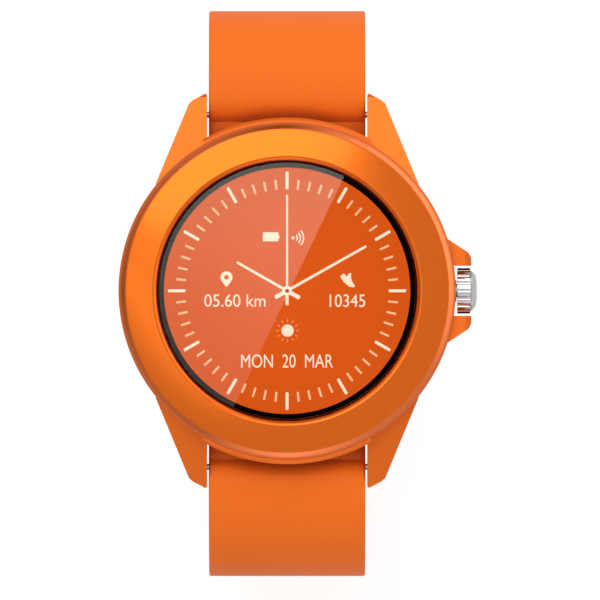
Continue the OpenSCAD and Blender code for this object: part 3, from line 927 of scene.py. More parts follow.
@dataclass
class Bezel:
    """Raised ring round the glass: a flat cone that rises inwards, with a steep outer band.

    Attributes:
        seat_z: Height of the seat on the case.
        rise: Rise above the seat.
        outer_r: Outer radius.
        foot: Height of the upright foot of the steep band.
        band: Width of the steep band.
        cone_drop: Drop of the cone from the lip to the band.
        lip_r: Radius of the opening.
        lip_ease: Width and drop of the chamfer on the lip.
        ledge_r: Inner radius of the ledge under the glass.
        ledge_rise: Height of the ledge above the seat.
        ledge_under: Drop of the ledge's underside below the seat.
        spigot_r: Radius of the part inside the case.
        spigot_wall: Wall of that part.
        spigot_depth: Depth of that part.
        soften: Radius of the visible corners.
    """

    seat_z: float = 9.4
    rise: float = 2.0
    outer_r: float = 21.5
    foot: float = 0.4
    band: float = 0.9
    cone_drop: float = 0.75
    lip_r: float = 16.7
    lip_ease: tuple[float, float] = (0.4, 0.3)
    ledge_r: float = 15.9
    ledge_rise: float = 0.1
    ledge_under: float = 0.5
    spigot_r: float = 18.3
    spigot_wall: float = 1.3
    spigot_depth: float = 1.2
    soften: float = 0.13

    def outline(self) -> list[tuple[float, float]]:
        """Gives the side outline, the same as the CAD ring's.

        Returns:
            Radius and height of each corner.
        """
        top, low = self.seat_z + self.rise, self.seat_z - self.spigot_depth
        ledge_z, under = self.seat_z + self.ledge_rise, self.seat_z - self.ledge_under
        inner = self.spigot_r - self.spigot_wall
        return [
            (self.lip_r, top - self.lip_ease[1]), (self.lip_r, ledge_z), (self.ledge_r, ledge_z),
            (self.ledge_r, under), (inner, under), (inner, low),
            (self.spigot_r, low), (self.spigot_r, self.seat_z), (self.outer_r, self.seat_z),
            (self.outer_r, self.seat_z + self.foot),
            (self.outer_r - self.band, top - self.cone_drop), (self.lip_r + self.lip_ease[0], top),
        ]

    def build(self, paint: Paintbox) -> None:
        """Turns the ring, with its visible corners softened.

        Args:
            paint: Paintbox that dresses it.
        """
        ring = turned_solid("bezel", self.outline(), self.soften,
                            lambda p: p.z > self.seat_z + self.foot / 2)
        paint.deliver(ring, "case", "bezel", stands_for=["bezel_ring"])


# ---- dial ------------------------------------------------------------------------------------


@dataclass(frozen=True)
class Hand:
    """One hand of the dial.

    Attributes:
        turn: Degrees clockwise from 12 o'clock.
        length: Length from the centre.
        width: Width of the blade.
        tail: Length of the tail.
        level: Printed layer.
    """

    turn: float
    length: float
    width: float
    tail: float
    level: int


@dataclass(frozen=True)
class Readout:
    """Short readout in digits and letters.

    Attributes:
        name: Name of the piece.
        text: What it reads.
        low: Lower left corner of its box.
        high: Upper right corner of its box.
    """

    name: str
    text: str
    low: tuple[float, float]
    high: tuple[float, float]


HANDS = (Hand(turn=-60.4, length=7.35, width=0.36, tail=1.85, level=2),
         Hand(turn=60.6, length=11.56, width=0.36, tail=1.75, level=2),
         Hand(turn=0, length=12.24, width=0.27, tail=1.85, level=3))
READOUTS = (Readout("dial_distance", "05.60 km", (-10.55, -2.04), (-2.75, -0.45)),
            Readout("dial_steps", "10345", (5.42, -2.08), (9.95, -0.45)),
            Readout("dial_date", "MON  20  MAR", (-5.86, -9.8), (5.86, -8.1)))


@dataclass
class Dial:
    """Everything that the display shows, printed just above its panel.

    Attributes:
        radius: Radius of the lit area.
        border_r: Outer radius of the black border.
        base_z: Height of the display panel's face.
        skin: Thickness of one printed layer.
        ease: Width of the bevel on a printed disc's rim.
        mark_start: Radius at which the marks start.
        hour_mark: Width and outer radius of an hour mark.
        minute_mark: Width and outer radius of a minute mark.
        hub_r: Radii of the hub's ring and dot.
        battery_at: Centre of the battery sign's body.
        radio_at: Centre of the radio sign's dot.
        place_at: Centre of the map pin's head.
        shoe_at: Centre of the shoe sign.
        sun_at: Centre of the sun sign.
    """

    radius: float = 15.7
    border_r: float = 16.55
    base_z: float = 9.7
    skin: float = 0.02
    ease: float = 0.004
    mark_start: float = 12.95
    hour_mark: tuple[float, float] = (0.37, 15.17)
    minute_mark: tuple[float, float] = (0.27, 14.2)
    hub_r: tuple[float, float] = (0.62, 0.26)
    battery_at: tuple[float, float] = (-2.1, 6.88)
    radio_at: tuple[float, float] = (0.75, 6.75)
    place_at: tuple[float, float] = (-7.72, 1.72)
    shoe_at: tuple[float, float] = (7.7, 1.35)
    sun_at: tuple[float, float] = (0.06, -5.07)

    def layer(self, level: int) -> float:
        """Middle height of a printed layer above the panel."""
        return self.base_z + self.skin * (level + 0.5) + 0.01

    def face(self) -> Object:
        """Lit disc with a softened rim.

        Returns:
            The disc.
        """
        disc = rod("dial_face", self.radius, self.skin, (0, 0, self.layer(0)), sides=160)
        round_edges(disc, lambda e: abs(middle(e).xy.length - self.radius) < 0.01
                    and middle(e).z > self.layer(0), self.ease, 1)
        return disc

    def border(self) -> Object:
        """Black ring under the rim of the glass.

        Returns:
            The ring.
        """
        mid = (self.radius + self.border_r) / 2
        ring = rod("dial_border", self.border_r, self.skin, (0, 0, self.layer(0)), sides=160)
        pick(ring, Pick.FACES, lambda f: abs(f.normal.z) > 0.9)
        bpy.ops.mesh.inset(thickness=self.border_r - self.radius - 0.01)
        pick(ring, Pick.FACES, lambda f: abs(f.normal.z) > 0.9
             and f.calc_center_median().xy.length < 1)
        bpy.ops.mesh.delete(type="FACE")
        pick(ring, Pick.EDGES, lambda e: middle(e).xy.length < mid and not runs_along(e, 2)
             and len(e.link_faces) == 1)
        bpy.ops.mesh.bridge_edge_loops()
        leave_edit_mode()
        tidy_mesh(ring)
        return ring

    def bar(self, width: float, start: float, end: float, level: int) -> Object:
        """Upright bar from one radius to another, with eased corners.

        Args:
            width: Width of the bar.
            start: Radius at which it starts.
            end: Radius at which it ends.
            level: Printed layer.

        Returns:
            The bar, at 12 o'clock.
        """
        bar = block("bar", (width, end - start, self.skin), (0, (start + end) / 2, self.layer(level)))
        round_edges(bar, lambda e: runs_along(e, 2), width * 0.22, 2)
        return bar

    def marks(self) -> tuple[Object, Object]:
        """Makes the marks.

        Returns:
            Twelve hour marks as one piece, and the minute marks between them as another.
        """
        hour, minute = (self.bar(width, self.mark_start, end, 1)
                        for width, end in (self.hour_mark, self.minute_mark))
        one_minute = math.radians(6)
        hours = [hour] + [copy_turned(hour, one_minute * 5 * i) for i in range(1, 12)]
        minutes = [copy_turned(minute, one_minute * i) for i in range(60) if i % 5]
        bpy.data.objects.remove(minute)
        return join("dial_hour_marks", hours), join("dial_minute_marks", minutes)

    def hand(self, hand: Hand) -> Object:
        """Makes a hand with a slim blade and a thicker tail.

        Args:
            hand: Its sizes and its time.

        Returns:
            The hand, turned to its time.
        """
        inner, outer, tip_share, tail_share = -0.2, 0.3, 0.85, 1.45
        blade = self.bar(hand.width, inner, hand.length, hand.level)
        pick(blade, Pick.VERTS, lambda v: v.co.y > hand.length / 2)
        bpy.ops.transform.resize(value=(tip_share, 1, 1), center_override=(0, hand.length, 0))
        leave_edit_mode()
        tail = self.bar(hand.width * tail_share, -hand.tail, outer, hand.level)
        both = join("hand", [blade, tail])
        both.data.transform(Matrix.Rotation(math.radians(-hand.turn), 4, "Z"))
        return both

    def hub(self) -> tuple[Object, Object]:
        """Makes the hub.

        Returns:
            The pale ring and the dark dot at the centre.
        """
        ring = rod("dial_hub_ring", self.hub_r[0], self.skin, (0, 0, self.layer(4)), sides=40)
        dot = rod("dial_hub_dot", self.hub_r[1], self.skin, (0, 0, self.layer(5)), sides=32)
        for part, radius in zip((ring, dot), self.hub_r):
            round_edges(part, lambda e, r=radius: abs(middle(e).xy.length - r) < 0.01
                        and not runs_along(e, 2), self.ease, 1)
        return ring, dot

    def words(self, readout: Readout) -> Object:
        """Sets a short readout into its box.

        Args:
            readout: Its text and its box.

        Returns:
            The readout as a mesh.
        """
        clear_selection()
        bpy.ops.object.text_add()
        obj = bpy.context.object
        obj.name, obj.data.body = readout.name, readout.text
        obj.data.extrude, obj.data.size, obj.data.resolution_u = 0.005, 1.0, 5
        activate(obj)
        bpy.ops.object.convert(target="MESH")
        obj = bpy.context.object
        xs, ys, zs = ([v.co[axis] for v in obj.data.vertices] for axis in range(3))
        low, high = readout.low, readout.high
        grow = Matrix.Diagonal(((high[0] - low[0]) / (max(xs) - min(xs)),
                                (high[1] - low[1]) / (max(ys) - min(ys)),
                                self.skin / (max(zs) - min(zs)), 1))
        obj.data.transform(Matrix.Translation((low[0], low[1], self.layer(1)))
                           @ grow @ Matrix.Translation((-min(xs), -min(ys), 0)))
        tidy_mesh(obj, 20)
        return obj

    def battery_sign(self) -> Object:
        """Makes the sign of a full battery.

        Returns:
            The sign.
        """
        (x, y), z = self.battery_at, self.layer(1)
        length, height, nub_length, nub_height, nub_x = 1.98, 1.16, 0.16, 0.36, 1.06
        body = block("sign", (length, height, self.skin), (x, y, z))
        round_edges(body, lambda e: runs_along(e, 2), 0.1, 3)
        nub = block("nub", (nub_length, nub_height, self.skin), (x + nub_x, y, z))
        round_edges(nub, lambda e: runs_along(e, 2), 0.05, 2)
        return join("dial_battery_sign", [body, nub])

    def radio_sign(self) -> Object:
        """Makes a dot with three arcs of waves.

        Returns:
            The sign.
        """
        dot_r, arc_radii, line, thin = 0.2, (0.55, 0.95, 1.35), 0.17, 0.02
        half_turn = math.radians(42)
        centre = Vector((*self.radio_at, self.layer(1)))
        start = Matrix.Rotation(-half_turn, 4, "Z")
        way = start.to_3x3() @ Vector((0, 1, 0))
        parts = [rod("dot", dot_r, self.skin, centre, sides=24)]
        for radius in arc_radii:
            arc = block("arc", (line, thin, self.skin), centre + Vector((radius, 0, 0)))
            arc.data.transform(Matrix.Translation(centre) @ start @ Matrix.Translation(-centre))
            pick(arc, Pick.FACES, lambda f: f.normal.dot(way) > 0.9)
            bpy.ops.mesh.spin(steps=14, angle=-2 * half_turn, center=centre, axis=(0, 0, 1))
            leave_edit_mode()
            parts.append(arc)
        sign = join("dial_radio_sign", parts)
        tidy_mesh(sign, 20)
        return sign

    def place_sign(self) -> Object:
        """Makes a map pin, a ring that narrows to a point below.

        Returns:
            The sign.
        """
        head, tip, hole = 0.76, 1.2, 0.3
        pin = rod("dial_place_sign", head, self.skin, sides=36)
        pick(pin, Pick.FACES, lambda f: abs(f.normal.z) > 0.9)
        bpy.ops.mesh.inset(thickness=head - hole)
        pick(pin, Pick.FACES, lambda f: abs(f.normal.z) > 0.9
             and f.calc_center_median().xy.length < 0.1)
        bpy.ops.mesh.delete(type="FACE")
        pick(pin, Pick.EDGES, lambda e: len(e.link_faces) == 1)
        bpy.ops.mesh.bridge_edge_loops()
        pick(pin, Pick.VERTS, lambda v: v.co.y < -head * 0.99)
        bpy.ops.transform.translate(value=(0, head - tip, 0))
        leave_edit_mode()
        for vertex in pin.data.vertices:
            low = (-vertex.co.y / head - head / tip) / (1 - head / tip)
            if 0 < low and vertex.co.y > -head * 0.99 and vertex.co.xy.length > hole * 1.5:
                vertex.co.y -= (tip - head) * low
                vertex.co.x *= 1 - 0.45 * low
        pin.data.transform(Matrix.Translation((*self.place_at, self.layer(1))))
        tidy_mesh(pin, 20)
        return pin

    def shoe_sign(self) -> Object:
        """Makes a running shoe with its toe down.

        Returns:
            The sign.
        """
        shoe = plate("dial_shoe_sign", [
            (-0.94, 0.5), (-0.46, 0.9), (-0.1, 0.42), (0.2, 0.9), (0.5, 0.9), (0.42, 0.36),
            (0.66, -0.3), (0.98, -0.72), (0.8, -0.92), (0.2, -0.82), (-0.5, -0.2)], self.skin)
        round_edges(shoe, lambda e: runs_along(e, 2), 0.1, 3)
        shoe.data.transform(Matrix.Translation((*self.shoe_at, self.layer(1) - self.skin / 2)))
        tidy_mesh(shoe, 20)
        return shoe

    def sun_sign(self) -> tuple[Object, Object]:
        """Makes the sun.

        Returns:
            Its disc, and its twelve rays.
        """
        at = (*self.sun_at, self.layer(1))
        disc_r, ray_width, ray_length, ray_r, count = 0.78, 0.13, 0.40, 1.28, 12
        disc = rod("dial_sun_sign", disc_r, self.skin, at, sides=40)
        round_edges(disc, lambda e: not runs_along(e, 2), self.ease, 1)
        ray = block("ray", (ray_width, ray_length, self.skin), (at[0], at[1] + ray_r, at[2]))
        round_edges(ray, lambda e: runs_along(e, 2), 0.04, 2)
        rays = [ray] + [copy_turned(ray, math.radians(360 / count * i), at)
                        for i in range(1, count)]
        return disc, join("dial_sun_rays", rays)

    def build(self, paint: Paintbox) -> None:
        """Builds the face, its border, marks, hands, signs and readouts.

        Args:
            paint: Paintbox that dresses them.
        """
        hours, minutes = self.marks()
        ring, dot = self.hub()
        sun, rays = self.sun_sign()
        pieces = [
            (self.face(), "face"), (hours, "mark"), (minutes, "faint"),
            (join("dial_hands", [self.hand(hand) for hand in HANDS]), "mark"),
            (ring, "mark"), (dot, "hub"), (self.battery_sign(), "mark"),
            (self.radio_sign(), "mark"), (self.place_sign(), "mark"), (self.shoe_sign(), "mark"),
            (sun, "mark"), (rays, "ray"),
        ]
        pieces += [(self.words(readout), "mark") for readout in READOUTS]
        for piece, look in pieces:
            paint.deliver(piece, "case", "display", look)
        paint.deliver(self.border(), "case", "black_seal", "ink")


# ---- strap -----------------------------------------------------------------------------------


@dataclass(frozen=True)
class Curl:
    """Side path of a strap half's outer face, the same as the CAD solid's.

    Attributes:
        first_r: Radius of the curve over the lugs.
        first_turn: Turn of that curve in degrees.
        side: Straight side.
        second_r: Radius of the lower curve.
        second_turn: Turn of that curve in degrees.
        flat: Straight end.
    """

    first_r: float
    first_turn: float
    side: float
    second_r: float
    second_turn: float
    flat: float

    def side_start(self) -> float:
        """Distance at which the straight side starts."""
        return self.first_r * math.radians(self.first_turn)

    def side_end(self) -> float:
        """Distance at which the straight side ends."""
        return self.side_start() + self.side

    def flat_start(self) -> float:
        """Distance at which the straight end starts."""
        return self.side_end() + self.second_r * math.radians(self.second_turn)

    def length(self) -> float:
        """Whole length from the lug roll to the end."""
        return self.flat_start() + self.flat

    def at(self, s: float) -> Place:
        """Follows the path.

        Args:
            s: Distance along the outer face from the lug roll.

        Returns:
            Outward place, height, and slope in radians.
        """
        y, z, slope = Strap.roll_y, Strap.top_z, 0.0
        legs = ((self.first_r, self.side_start()), (0, self.side_end()),
                (self.second_r, self.flat_start()), (0, self.length()))
        done = 0.0
        for radius, end in legs:
            run = min(s, end) - done
            if run <= 0:
                break
            if radius:
                after = slope + run / radius
                y += radius * (math.sin(after) - math.sin(slope))
                z += radius * (math.cos(after) - math.cos(slope))
                slope = after
            else:
                y, z = y + run * math.cos(slope), z - run * math.sin(slope)
            done = end
        return y, z, slope

    def frame_at(self, s: float, depth: float = 0.0) -> Matrix:
        """Gives a place on the strap as a frame: X across, Y along and Z outwards.

        Args:
            s: Distance along the outer face.
            depth: Depth below the outer face.

        Returns:
            Matrix from that frame to the watch's.
        """
        y, z, slope = self.at(s)
        turn = Matrix.Rotation(-slope, 4, "X")
        return Matrix.Translation((0, y, z)) @ turn @ Matrix.Translation((0, 0, -depth))

    def stations(self) -> list[float]:
        """Lists the cuts that let a flat strap bend smoothly.

        Returns:
            Distances along the outer face.
        """
        def steps(start: float, end: float, size: float) -> list[float]:
            """Divides one stretch evenly.

            Args:
                start: Start of the stretch.
                end: End of the stretch.
                size: Wanted size of a step.

            Returns:
                The end of each step.
            """
            count = max(1, round((end - start) / size))
            return [start + (end - start) * i / count for i in range(1, count + 1)]

        lip_step, first_step, side_step, second_step, into_flat = 0.36, 0.8, 2.5, 1.1, 1
        return (steps(-Strap.lip, 0, lip_step)[:-1] + [0.0]
                + steps(0, self.side_start(), first_step)
                + steps(self.side_start(), self.side_end(), side_step)
                + steps(self.side_end(), self.flat_start(), second_step)
                + ([] if self.flat < into_flat else [self.flat_start() + into_flat]))


@dataclass
class Strap:
    """One half of the silicone strap.

    Attributes:
        name: Name of the piece.
        node: CAD node that it replaces, and the body that it rides on.
        curl: Side path.
        side: 1 for the 12 o'clock half, -1 for the 6 o'clock half.
        holes: Number of buckle holes.
        roll_y: Outward place at which the roll down to the lug bar starts.
        top_z: Height of the outer face there.
        lip: Length of the stretch inside the roll.
        under_z: Height of the underside of that stretch.
        crease_y: Outward place of the crease at the case.
        crease_z: Height of the outer face at the crease.
        thin: Thickness of the strap.
        thick: Thickness at the roll.
        thicker_run: Length over which the thickness falls to that of the strap.
        half: Half of the width at the case.
        half_low: Half of the width at the far end.
        taper_z: Height at which the strap starts to taper.
        taper_drop: Drop over which it tapers.
        edge: Rounding of the long edges.
        bar: Outward place and height of the spring bar.
        bar_r: Radius of the hole for the spring bar.
        notch: Size of the notch for the release knob.
        notch_x: Place of the notch across the strap.
        hole_r: Radius of a buckle hole.
        hole_first: Distance of the first hole from the end.
        hole_pitch: Distance between holes.
        hole_rim: Rounding of a hole's rim.
        knuckle_r: Radius of the rounded end round the buckle pin.
        pin_r: Radius of the hole for the buckle pin.
        slot: Size of the tongue's slot.
    """

    name: str
    node: str
    curl: Curl
    side: int
    holes: int = 0

    roll_y: ClassVar[float] = 24.8
    top_z: ClassVar[float] = 6.3
    lip: ClassVar[float] = 5.05
    under_z: ClassVar[float] = 2.5
    crease_y: ClassVar[float] = 21.6
    crease_z: ClassVar[float] = 4.9
    thin: ClassVar[float] = 2.4
    thick: ClassVar[float] = 3.8
    thicker_run: ClassVar[float] = 14.0
    half: ClassVar[float] = 10.0
    half_low: ClassVar[float] = 9.0
    taper_z: ClassVar[float] = -6.0
    taper_drop: ClassVar[float] = 11.0
    edge: ClassVar[float] = 0.26
    bar: ClassVar[tuple[float, float]] = (22.5, 3.8)
    bar_r: ClassVar[float] = 0.78
    notch: ClassVar[Place] = (2.55, 1.3, 4.0)
    notch_x: ClassVar[float] = 6.875
    hole_r: ClassVar[float] = 1.15
    hole_first: ClassVar[float] = 17.0
    hole_pitch: ClassVar[float] = 5.5
    hole_rim: ClassVar[float] = 0.16
    knuckle_r: ClassVar[float] = 1.48
    pin_r: ClassVar[float] = 0.72
    slot: ClassVar[Place] = (2.8, 7.0, 8.0)

    def slab(self) -> Object:
        """Makes the flat strap, its outer face at z = 0 and its lug roll at y = 0.

        Returns:
            The strap with its edges rounded.
        """
        length = self.curl.length() - (0 if self.holes else 0.3)
        slab = block(self.name, (2 * self.half_low, length + self.lip, self.thin),
                     (0, (length - self.lip) / 2, -self.thin / 2))
        if self.holes:
            round_edges(slab, lambda e: runs_along(e, 2) and middle(e).y > 0,
                        self.half_low - 0.05, 20)
        round_edges(slab, lambda e: not runs_along(e, 2) and middle(e).y > -self.lip + 0.01
                    or runs_along(e, 0), self.edge, 4)
        return slab

    def punch(self, slab: Object) -> None:
        """Punches the buckle holes and eases their rims.

        Args:
            slab: The flat strap.
        """
        end = self.curl.length()
        places = [end - self.hole_first - i * self.hole_pitch for i in range(self.holes)]
        for y in places:
            carve(slab, rod("punch", self.hole_r, 4 * self.thin, (0, y, 0), sides=40))

        def on_rim(vertex: bmesh.types.BMVert) -> bool:
            """Whether a vertex lies on the rim of a hole."""
            return any(abs((vertex.co.xy - Vector((0, y))).length - self.hole_r) < 0.01
                       for y in places)

        def on_face(edge: bmesh.types.BMEdge) -> bool:
            """Whether an edge lies in the outer or the inner face."""
            return min(abs(abs(middle(edge).z) - z) for z in (0, self.thin)) < 0.01

        round_edges(slab, lambda e: not runs_along(e, 2) and on_face(e)
                    and all(on_rim(v) for v in e.verts), self.hole_rim, 3)

    def roll_top(self, y: float) -> float:
        """Follows the outer face down to the lug bar.

        Args:
            y: Outward place.

        Returns:
            Height of the outer face.
        """
        if y < self.crease_y:
            return self.crease_z
        run, drop = self.roll_y - self.crease_y, self.top_z - self.crease_z
        radius = run / math.sin(2 * math.atan(drop / run))
        return self.top_z - radius + math.sqrt(radius ** 2 - (self.roll_y - y) ** 2)

    def bent(self, flat: Vector) -> Vector:
        """Moves a point of the flat strap to the curled one.

        Args:
            flat: Place on the flat strap.

        Returns:
            Its place on the curled strap.
        """
        s, depth = flat.y, -flat.z
        if s < 0:
            y = self.roll_y + s
            top = self.roll_top(y)
            z = top - depth / self.thin * (top - self.under_z)
        else:
            y, z, slope = self.curl.at(s)
            extra = (self.thick - self.thin) * max(0.0, 1 - s / self.thicker_run)
            depth *= (self.thin + extra) / self.thin
            y, z = y - depth * math.sin(slope), z - depth * math.cos(slope)
        share = min(1.0, max(0.0, (self.taper_z - z) / self.taper_drop))
        half = self.half - (self.half - self.half_low) * share
        return Vector((flat.x * half / self.half_low, self.side * y, z))

    def bore(self, strap: Object) -> None:
        """Cuts the spring bar's hole and the notch for its release knob.

        Args:
            strap: The curled strap.
        """
        y, z = self.side * self.bar[0], self.bar[1]
        carve(strap, rod("bore", self.bar_r, 3 * self.half, (0, y, z), "X", 32))
        carve(strap, block("notch", self.notch, (self.notch_x, y, z - self.notch[2] / 2)))

    def build(self, paint: Paintbox) -> Object:
        """Shapes the flat half, bends it and bores it.

        Args:
            paint: Paintbox that dresses it.

        Returns:
            The finished strap half.
        """
        strap = self.slab()
        if self.holes:
            self.punch(strap)
        slice_across(strap, self.curl.stations())
        for vertex in strap.data.vertices:
            vertex.co = self.bent(vertex.co)
        tidy_mesh(strap)
        self.bore(strap)
        if not self.holes:
            self.knuckle(strap)
        tidy_mesh(strap, 38)
        return paint.deliver(strap, self.node, "strap", stands_for=[self.node])

    def knuckle(self, strap: Object) -> None:
        """Adds the rounded end round the buckle pin, with the tongue's slot.

        Args:
            strap: The curled strap.
        """
        here = self.curl.frame_at(self.curl.length(), self.thin / 2)
        set_in, soften, slot_y = 0.35, 0.3, 1.2
        width = 2 * (self.half_low - set_in)
        roll = rod("roll", self.knuckle_r, width, (0, 0, 0), "X", 40)
        round_edges(roll, lambda e: abs(middle(e).x) > self.half_low - set_in - 0.05
                    and not runs_along(e, 0), soften, 3)
        pin = rod("pin", self.pin_r, 3 * self.half, (0, 0, 0), "X", 32)
        slot = block("slot", self.slot, (0, slot_y, 0))
        for tool, how in ((roll, Cut.ADD), (pin, Cut.AWAY), (slot, Cut.AWAY)):
            tool.data.transform(here)
            carve(strap, tool, how)


@dataclass
class Keeper:
    """Loop that holds the strap's tail.

    Attributes:
        name: Name of the piece and of the CAD node that it replaces.
        body: Body that it rides on.
        at: Distance along the buckle half's outer face.
        gap: Gap beside the strap.
        length: Length along the strap.
        wall: Wall of the loop.
        below: Clear depth below the strap's outer face.
        above: Clear height above it.
        corner: Outer radius of its corners.
        soften: Width of the bevel on its rims.
    """

    name: str
    body: str
    at: float
    gap: float
    length: float = 5.0
    wall: float = 1.1
    below: float = 2.75
    above: float = 2.9
    corner: float = 1.65
    soften: float = 0.24

    def build(self, paint: Paintbox, curl: Curl) -> None:
        """Rounds a block's corners, opens it and gives it a wall.

        Args:
            paint: Paintbox that dresses it.
            curl: Path of the strap half that carries it.
        """
        half = Strap.half_low + self.gap + self.wall
        height = self.above + self.below + 2 * self.wall
        loop = block(self.name + "_loop", (2 * half, self.length, height),
                     (0, 0, (self.above - self.below) / 2))
        round_edges(loop, lambda e: runs_along(e, 1), self.corner, 7)
        pick(loop, Pick.FACES, lambda f: abs(f.normal.y) > 0.9)
        bpy.ops.mesh.delete(type="FACE")
        leave_edit_mode()
        finish_shape(loop, "SOLIDIFY", thickness=self.wall, offset=-1)
        finish_shape(loop, "BEVEL", width=self.soften, segments=3, limit_method="ANGLE",
                     angle_limit=math.radians(50))
        loop.data.transform(curl.frame_at(self.at))
        tidy_mesh(loop, 38)
        paint.deliver(loop, self.body, "strap", stands_for=[self.name])


@dataclass
class StrapSet:
    """Both strap halves and both keepers.

    Attributes:
        upper: Path of the buckle half.
        lower: Path of the half with the holes.
        holes: Number of buckle holes.
        fixed_back: Distance of the fixed keeper from the buckle.
        free_back: Distance of the free keeper from the end of the straight side.
    """

    upper: Curl = Curl(first_r=11.1, first_turn=101.0, side=24.0, second_r=22.0,
                       second_turn=55.0, flat=0.0)
    lower: Curl = Curl(first_r=11.8, first_turn=90.0, side=33.8, second_r=16.0,
                       second_turn=90.0, flat=30.6)
    holes: int = 8
    fixed_back: float = 13.0
    free_back: float = 3.4

    def build(self, paint: Paintbox) -> None:
        """Builds the halves first and then the keepers on the buckle half.

        Args:
            paint: Paintbox that dresses them.
        """
        Strap("strap_buckle_half", "strap_upper", self.upper, 1).build(paint)
        Strap("strap_hole_half", "strap_lower", self.lower, -1, self.holes).build(paint)
        Keeper("keeper_fixed", "strap_upper", self.upper.length() - self.fixed_back,
               gap=0.0).build(paint, self.upper)
        Keeper("keeper_free", "keeper_free", self.upper.side_end() - self.free_back,
               gap=0.3, wall=0.8).build(paint, self.upper)


# ---- studio ----------------------------------------------------------------------------------


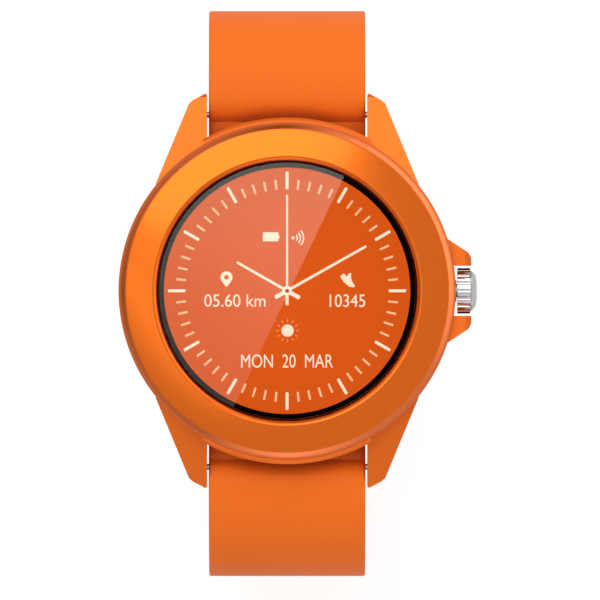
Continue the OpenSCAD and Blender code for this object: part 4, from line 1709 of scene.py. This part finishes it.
@dataclass
class Studio:
    """Pale floor, soft light and a long-lens camera above the dial.

    Attributes:
        distance: Camera height above the origin, in metres.
        view: Width of the view at the bezel's seat, in metres.
        seat_height: Height of that seat, in metres.
        sensor: Sensor width in millimetres.
        centre: Camera's offset from the case axis, in metres.
        card_z: Height of the soft light card.
        card_size: Length and width of the card.
        crossing: Place above which the card's straight edge passes.
        edge_turn: Turn of that edge in degrees.
        card_stops: Brightness along the card.
        card_tint: Tint of its light.
        card_power: Strength of its light.
        flag_size: Length and width of the dark flag beside the card.
        horizon: Brightness of the low surround at every 30 degrees.
        low_gain: Gain of the low surround.
        base_light: Brightness of the high surround.
        lift_light: Brightness of its bright patch.
        lift_way: Direction of that patch.
    """

    distance: float = 2.2
    view: float = 0.07648
    seat_height: float = 0.0094
    sensor: float = 36.0
    centre: tuple[float, float] = (0.001644, -0.001173)
    card_z: float = 2.6
    card_size: tuple[float, float] = (3.9, 1.95)
    crossing: tuple[float, float] = (-0.0012, 0.0016)
    edge_turn: float = 64.4
    card_stops: tuple[tuple[float, float], ...] = (
        (0.0, 0.15), (0.22, 0.17), (0.37, 0.36), (0.45, 0.24), (0.494, 0.26), (0.505, 0.62),
        (1.0, 0.62))
    card_tint: Color = (0.95, 1.0, 0.9)
    card_power: float = 4.0
    flag_size: tuple[float, float] = (0.26, 0.12)
    horizon: tuple[float, ...] = (
        0.08, 0.20, 0.18, 0.75, 0.34, 0.34, 0.85, 0.95, 0.75, 0.0, 0.22, 0.15, 0.08)
    low_gain: float = 2.0
    base_light: float = 0.64
    lift_light: float = 1.9
    lift_way: Place = (-0.42, 0.91, 0.0)

    def camera(self) -> None:
        """Looks straight down on the dial through a long lens."""
        data = bpy.data.cameras.new("camera")
        data.sensor_width = self.sensor
        data.lens = self.sensor * (self.distance - self.seat_height) / self.view
        camera = bpy.data.objects.new("camera", data)
        camera.location = (*self.centre, self.distance)
        bpy.context.scene.collection.objects.link(camera)
        bpy.context.scene.camera = camera

    def sheet(self, name: str, size: tuple[float, float], at: Place, turn: float = 0.0) -> Object:
        """Adds a flat stage sheet.

        Args:
            name: Name of the sheet.
            size: Length and width in metres.
            at: Centre.
            turn: Turn about the upright axis in radians.

        Returns:
            The sheet.
        """
        clear_selection()
        bpy.ops.mesh.primitive_plane_add(size=1, location=at, rotation=(0, 0, turn))
        obj = bpy.context.object
        obj.name, obj.scale = name, (*size, 1)
        activate(obj)
        bpy.ops.object.transform_apply(location=False, rotation=False, scale=True)
        return obj

    def card_glow(self) -> bpy.types.Material:
        """Makes the card's light, whose brightness changes along its length.

        Returns:
            The glowing material.
        """
        material, g = blank_material("card_glow")
        end = self.card_size[0] / 2
        place = g.add("SeparateXYZ", {0: g.add("TexCoord").outputs["Object"]}).outputs[0]
        along = g.add("MapRange", {0: place, 1: -end, 2: end}).outputs[0]
        color = g.ramp(along, [(where, solid(self.card_tint, value)[:3])
                               for where, value in self.card_stops])
        g.close(g.add("Emission", {"Color": color, "Strength": self.card_power}))
        return material

    def card(self) -> None:
        """Soft card over the left side, whose straight edge crosses the glass's reflection."""
        turn = math.radians(self.edge_turn)
        away = Vector((math.cos(turn + math.pi / 2), math.sin(turn + math.pi / 2)))
        crossing = Vector(self.crossing)
        card_at = crossing + away * self.card_size[1] / 2
        card = self.sheet("light_card", self.card_size, (*card_at, self.card_z), turn)
        card.data.materials.append(self.card_glow())
        flag_at = crossing - away * self.flag_size[1] / 2
        flag = self.sheet("dark_flag", self.flag_size, (*flag_at, self.card_z), turn)
        black, g = blank_material("flag_black")
        g.close(g.add("BsdfPrincipled", {"Base Color": (0.002, 0.002, 0.002, 1.0),
                                         "Roughness": 1.0}))
        flag.data.materials.append(black)

    def floor(self) -> None:
        """Pale floor just under the strap."""
        clearance, side, glow_seen, glow_unseen = 0.00003, 8, 0.8, 0.3
        floor = self.sheet("floor", (side, side), (0, 0, CAD_BOX[0][2] - clearance))
        pale, g = blank_material("floor_pale")
        seen = g.add("LightPath").outputs["Is Camera Ray"]
        glow = g.add("MapRange", {0: seen, 3: glow_unseen, 4: glow_seen}).outputs[0]
        g.close(g.add("BsdfPrincipled", {
            "Base Color": (0.30, 0.30, 0.30, 1.0), "Roughness": 0.9, "Specular IOR Level": 0.0,
            "Emission Color": (1.0, 1.0, 1.0, 1.0), "Emission Strength": glow}))
        floor.data.materials.append(pale)

    def world(self) -> None:
        """Soft surround, brighter low down on the right and in front, darker behind."""
        world = bpy.data.worlds.new("studio")
        bpy.context.scene.world = world
        world.use_nodes = True
        world.node_tree.nodes.clear()
        g = Graph(world.node_tree)
        white: Color = (1.0, 1.0, 1.0)
        way = g.add("TexCoord").outputs["Generated"]
        around = g.add("TexGradient", {"Vector": way}, gradient_type="RADIAL").outputs[1]
        last = len(self.horizon) - 1
        low_light = g.ramp(around, [(round(i / last, 3), (value, value, value))
                                    for i, value in enumerate(self.horizon)])
        low_light = g.mix(1.0, low_light, solid(white, self.low_gain), "MULTIPLY")
        up = g.add("SeparateXYZ", {0: way}).outputs[2]
        high = g.add("MapRange", {0: up, 1: 0.15, 2: 0.55}).outputs[0]
        color = g.mix(high, low_light, solid(white, self.base_light))
        facing = g.add("VectorMath", {0: way, 1: self.lift_way}, operation="DOT_PRODUCT")
        patch = g.add("MapRange", {0: facing.outputs["Value"], 1: 0.5, 2: 0.85}).outputs[0]
        lift = g.math("MULTIPLY", patch, g.add("MapRange", {0: up, 1: 0.2, 2: 0.45}).outputs[0])
        color = g.mix(lift, color, solid(white, self.lift_light))
        seen = g.add("LightPath").outputs["Is Camera Ray"]
        g.close(g.add("Background", {"Color": g.mix(seen, color, solid(white))}), "OutputWorld")

    def build(self) -> None:
        """Sets the stage."""
        self.camera()
        self.card()
        self.floor()
        self.world()
        view = bpy.context.scene.view_settings
        view.view_transform, view.look = "Standard", "None"
        LOG.info("studio is set")


def main() -> None:
    """Builds the pieces in order."""
    logging.basicConfig(level=logging.INFO, format="%(name)s: %(message)s")
    Studio().build()
    paint = Paintbox()
    paint.dress_cad_nodes()
    Bezel().build(paint)
    Dial().build(paint)
    StrapSet().build(paint)


if __name__ == "__main__":
    main()
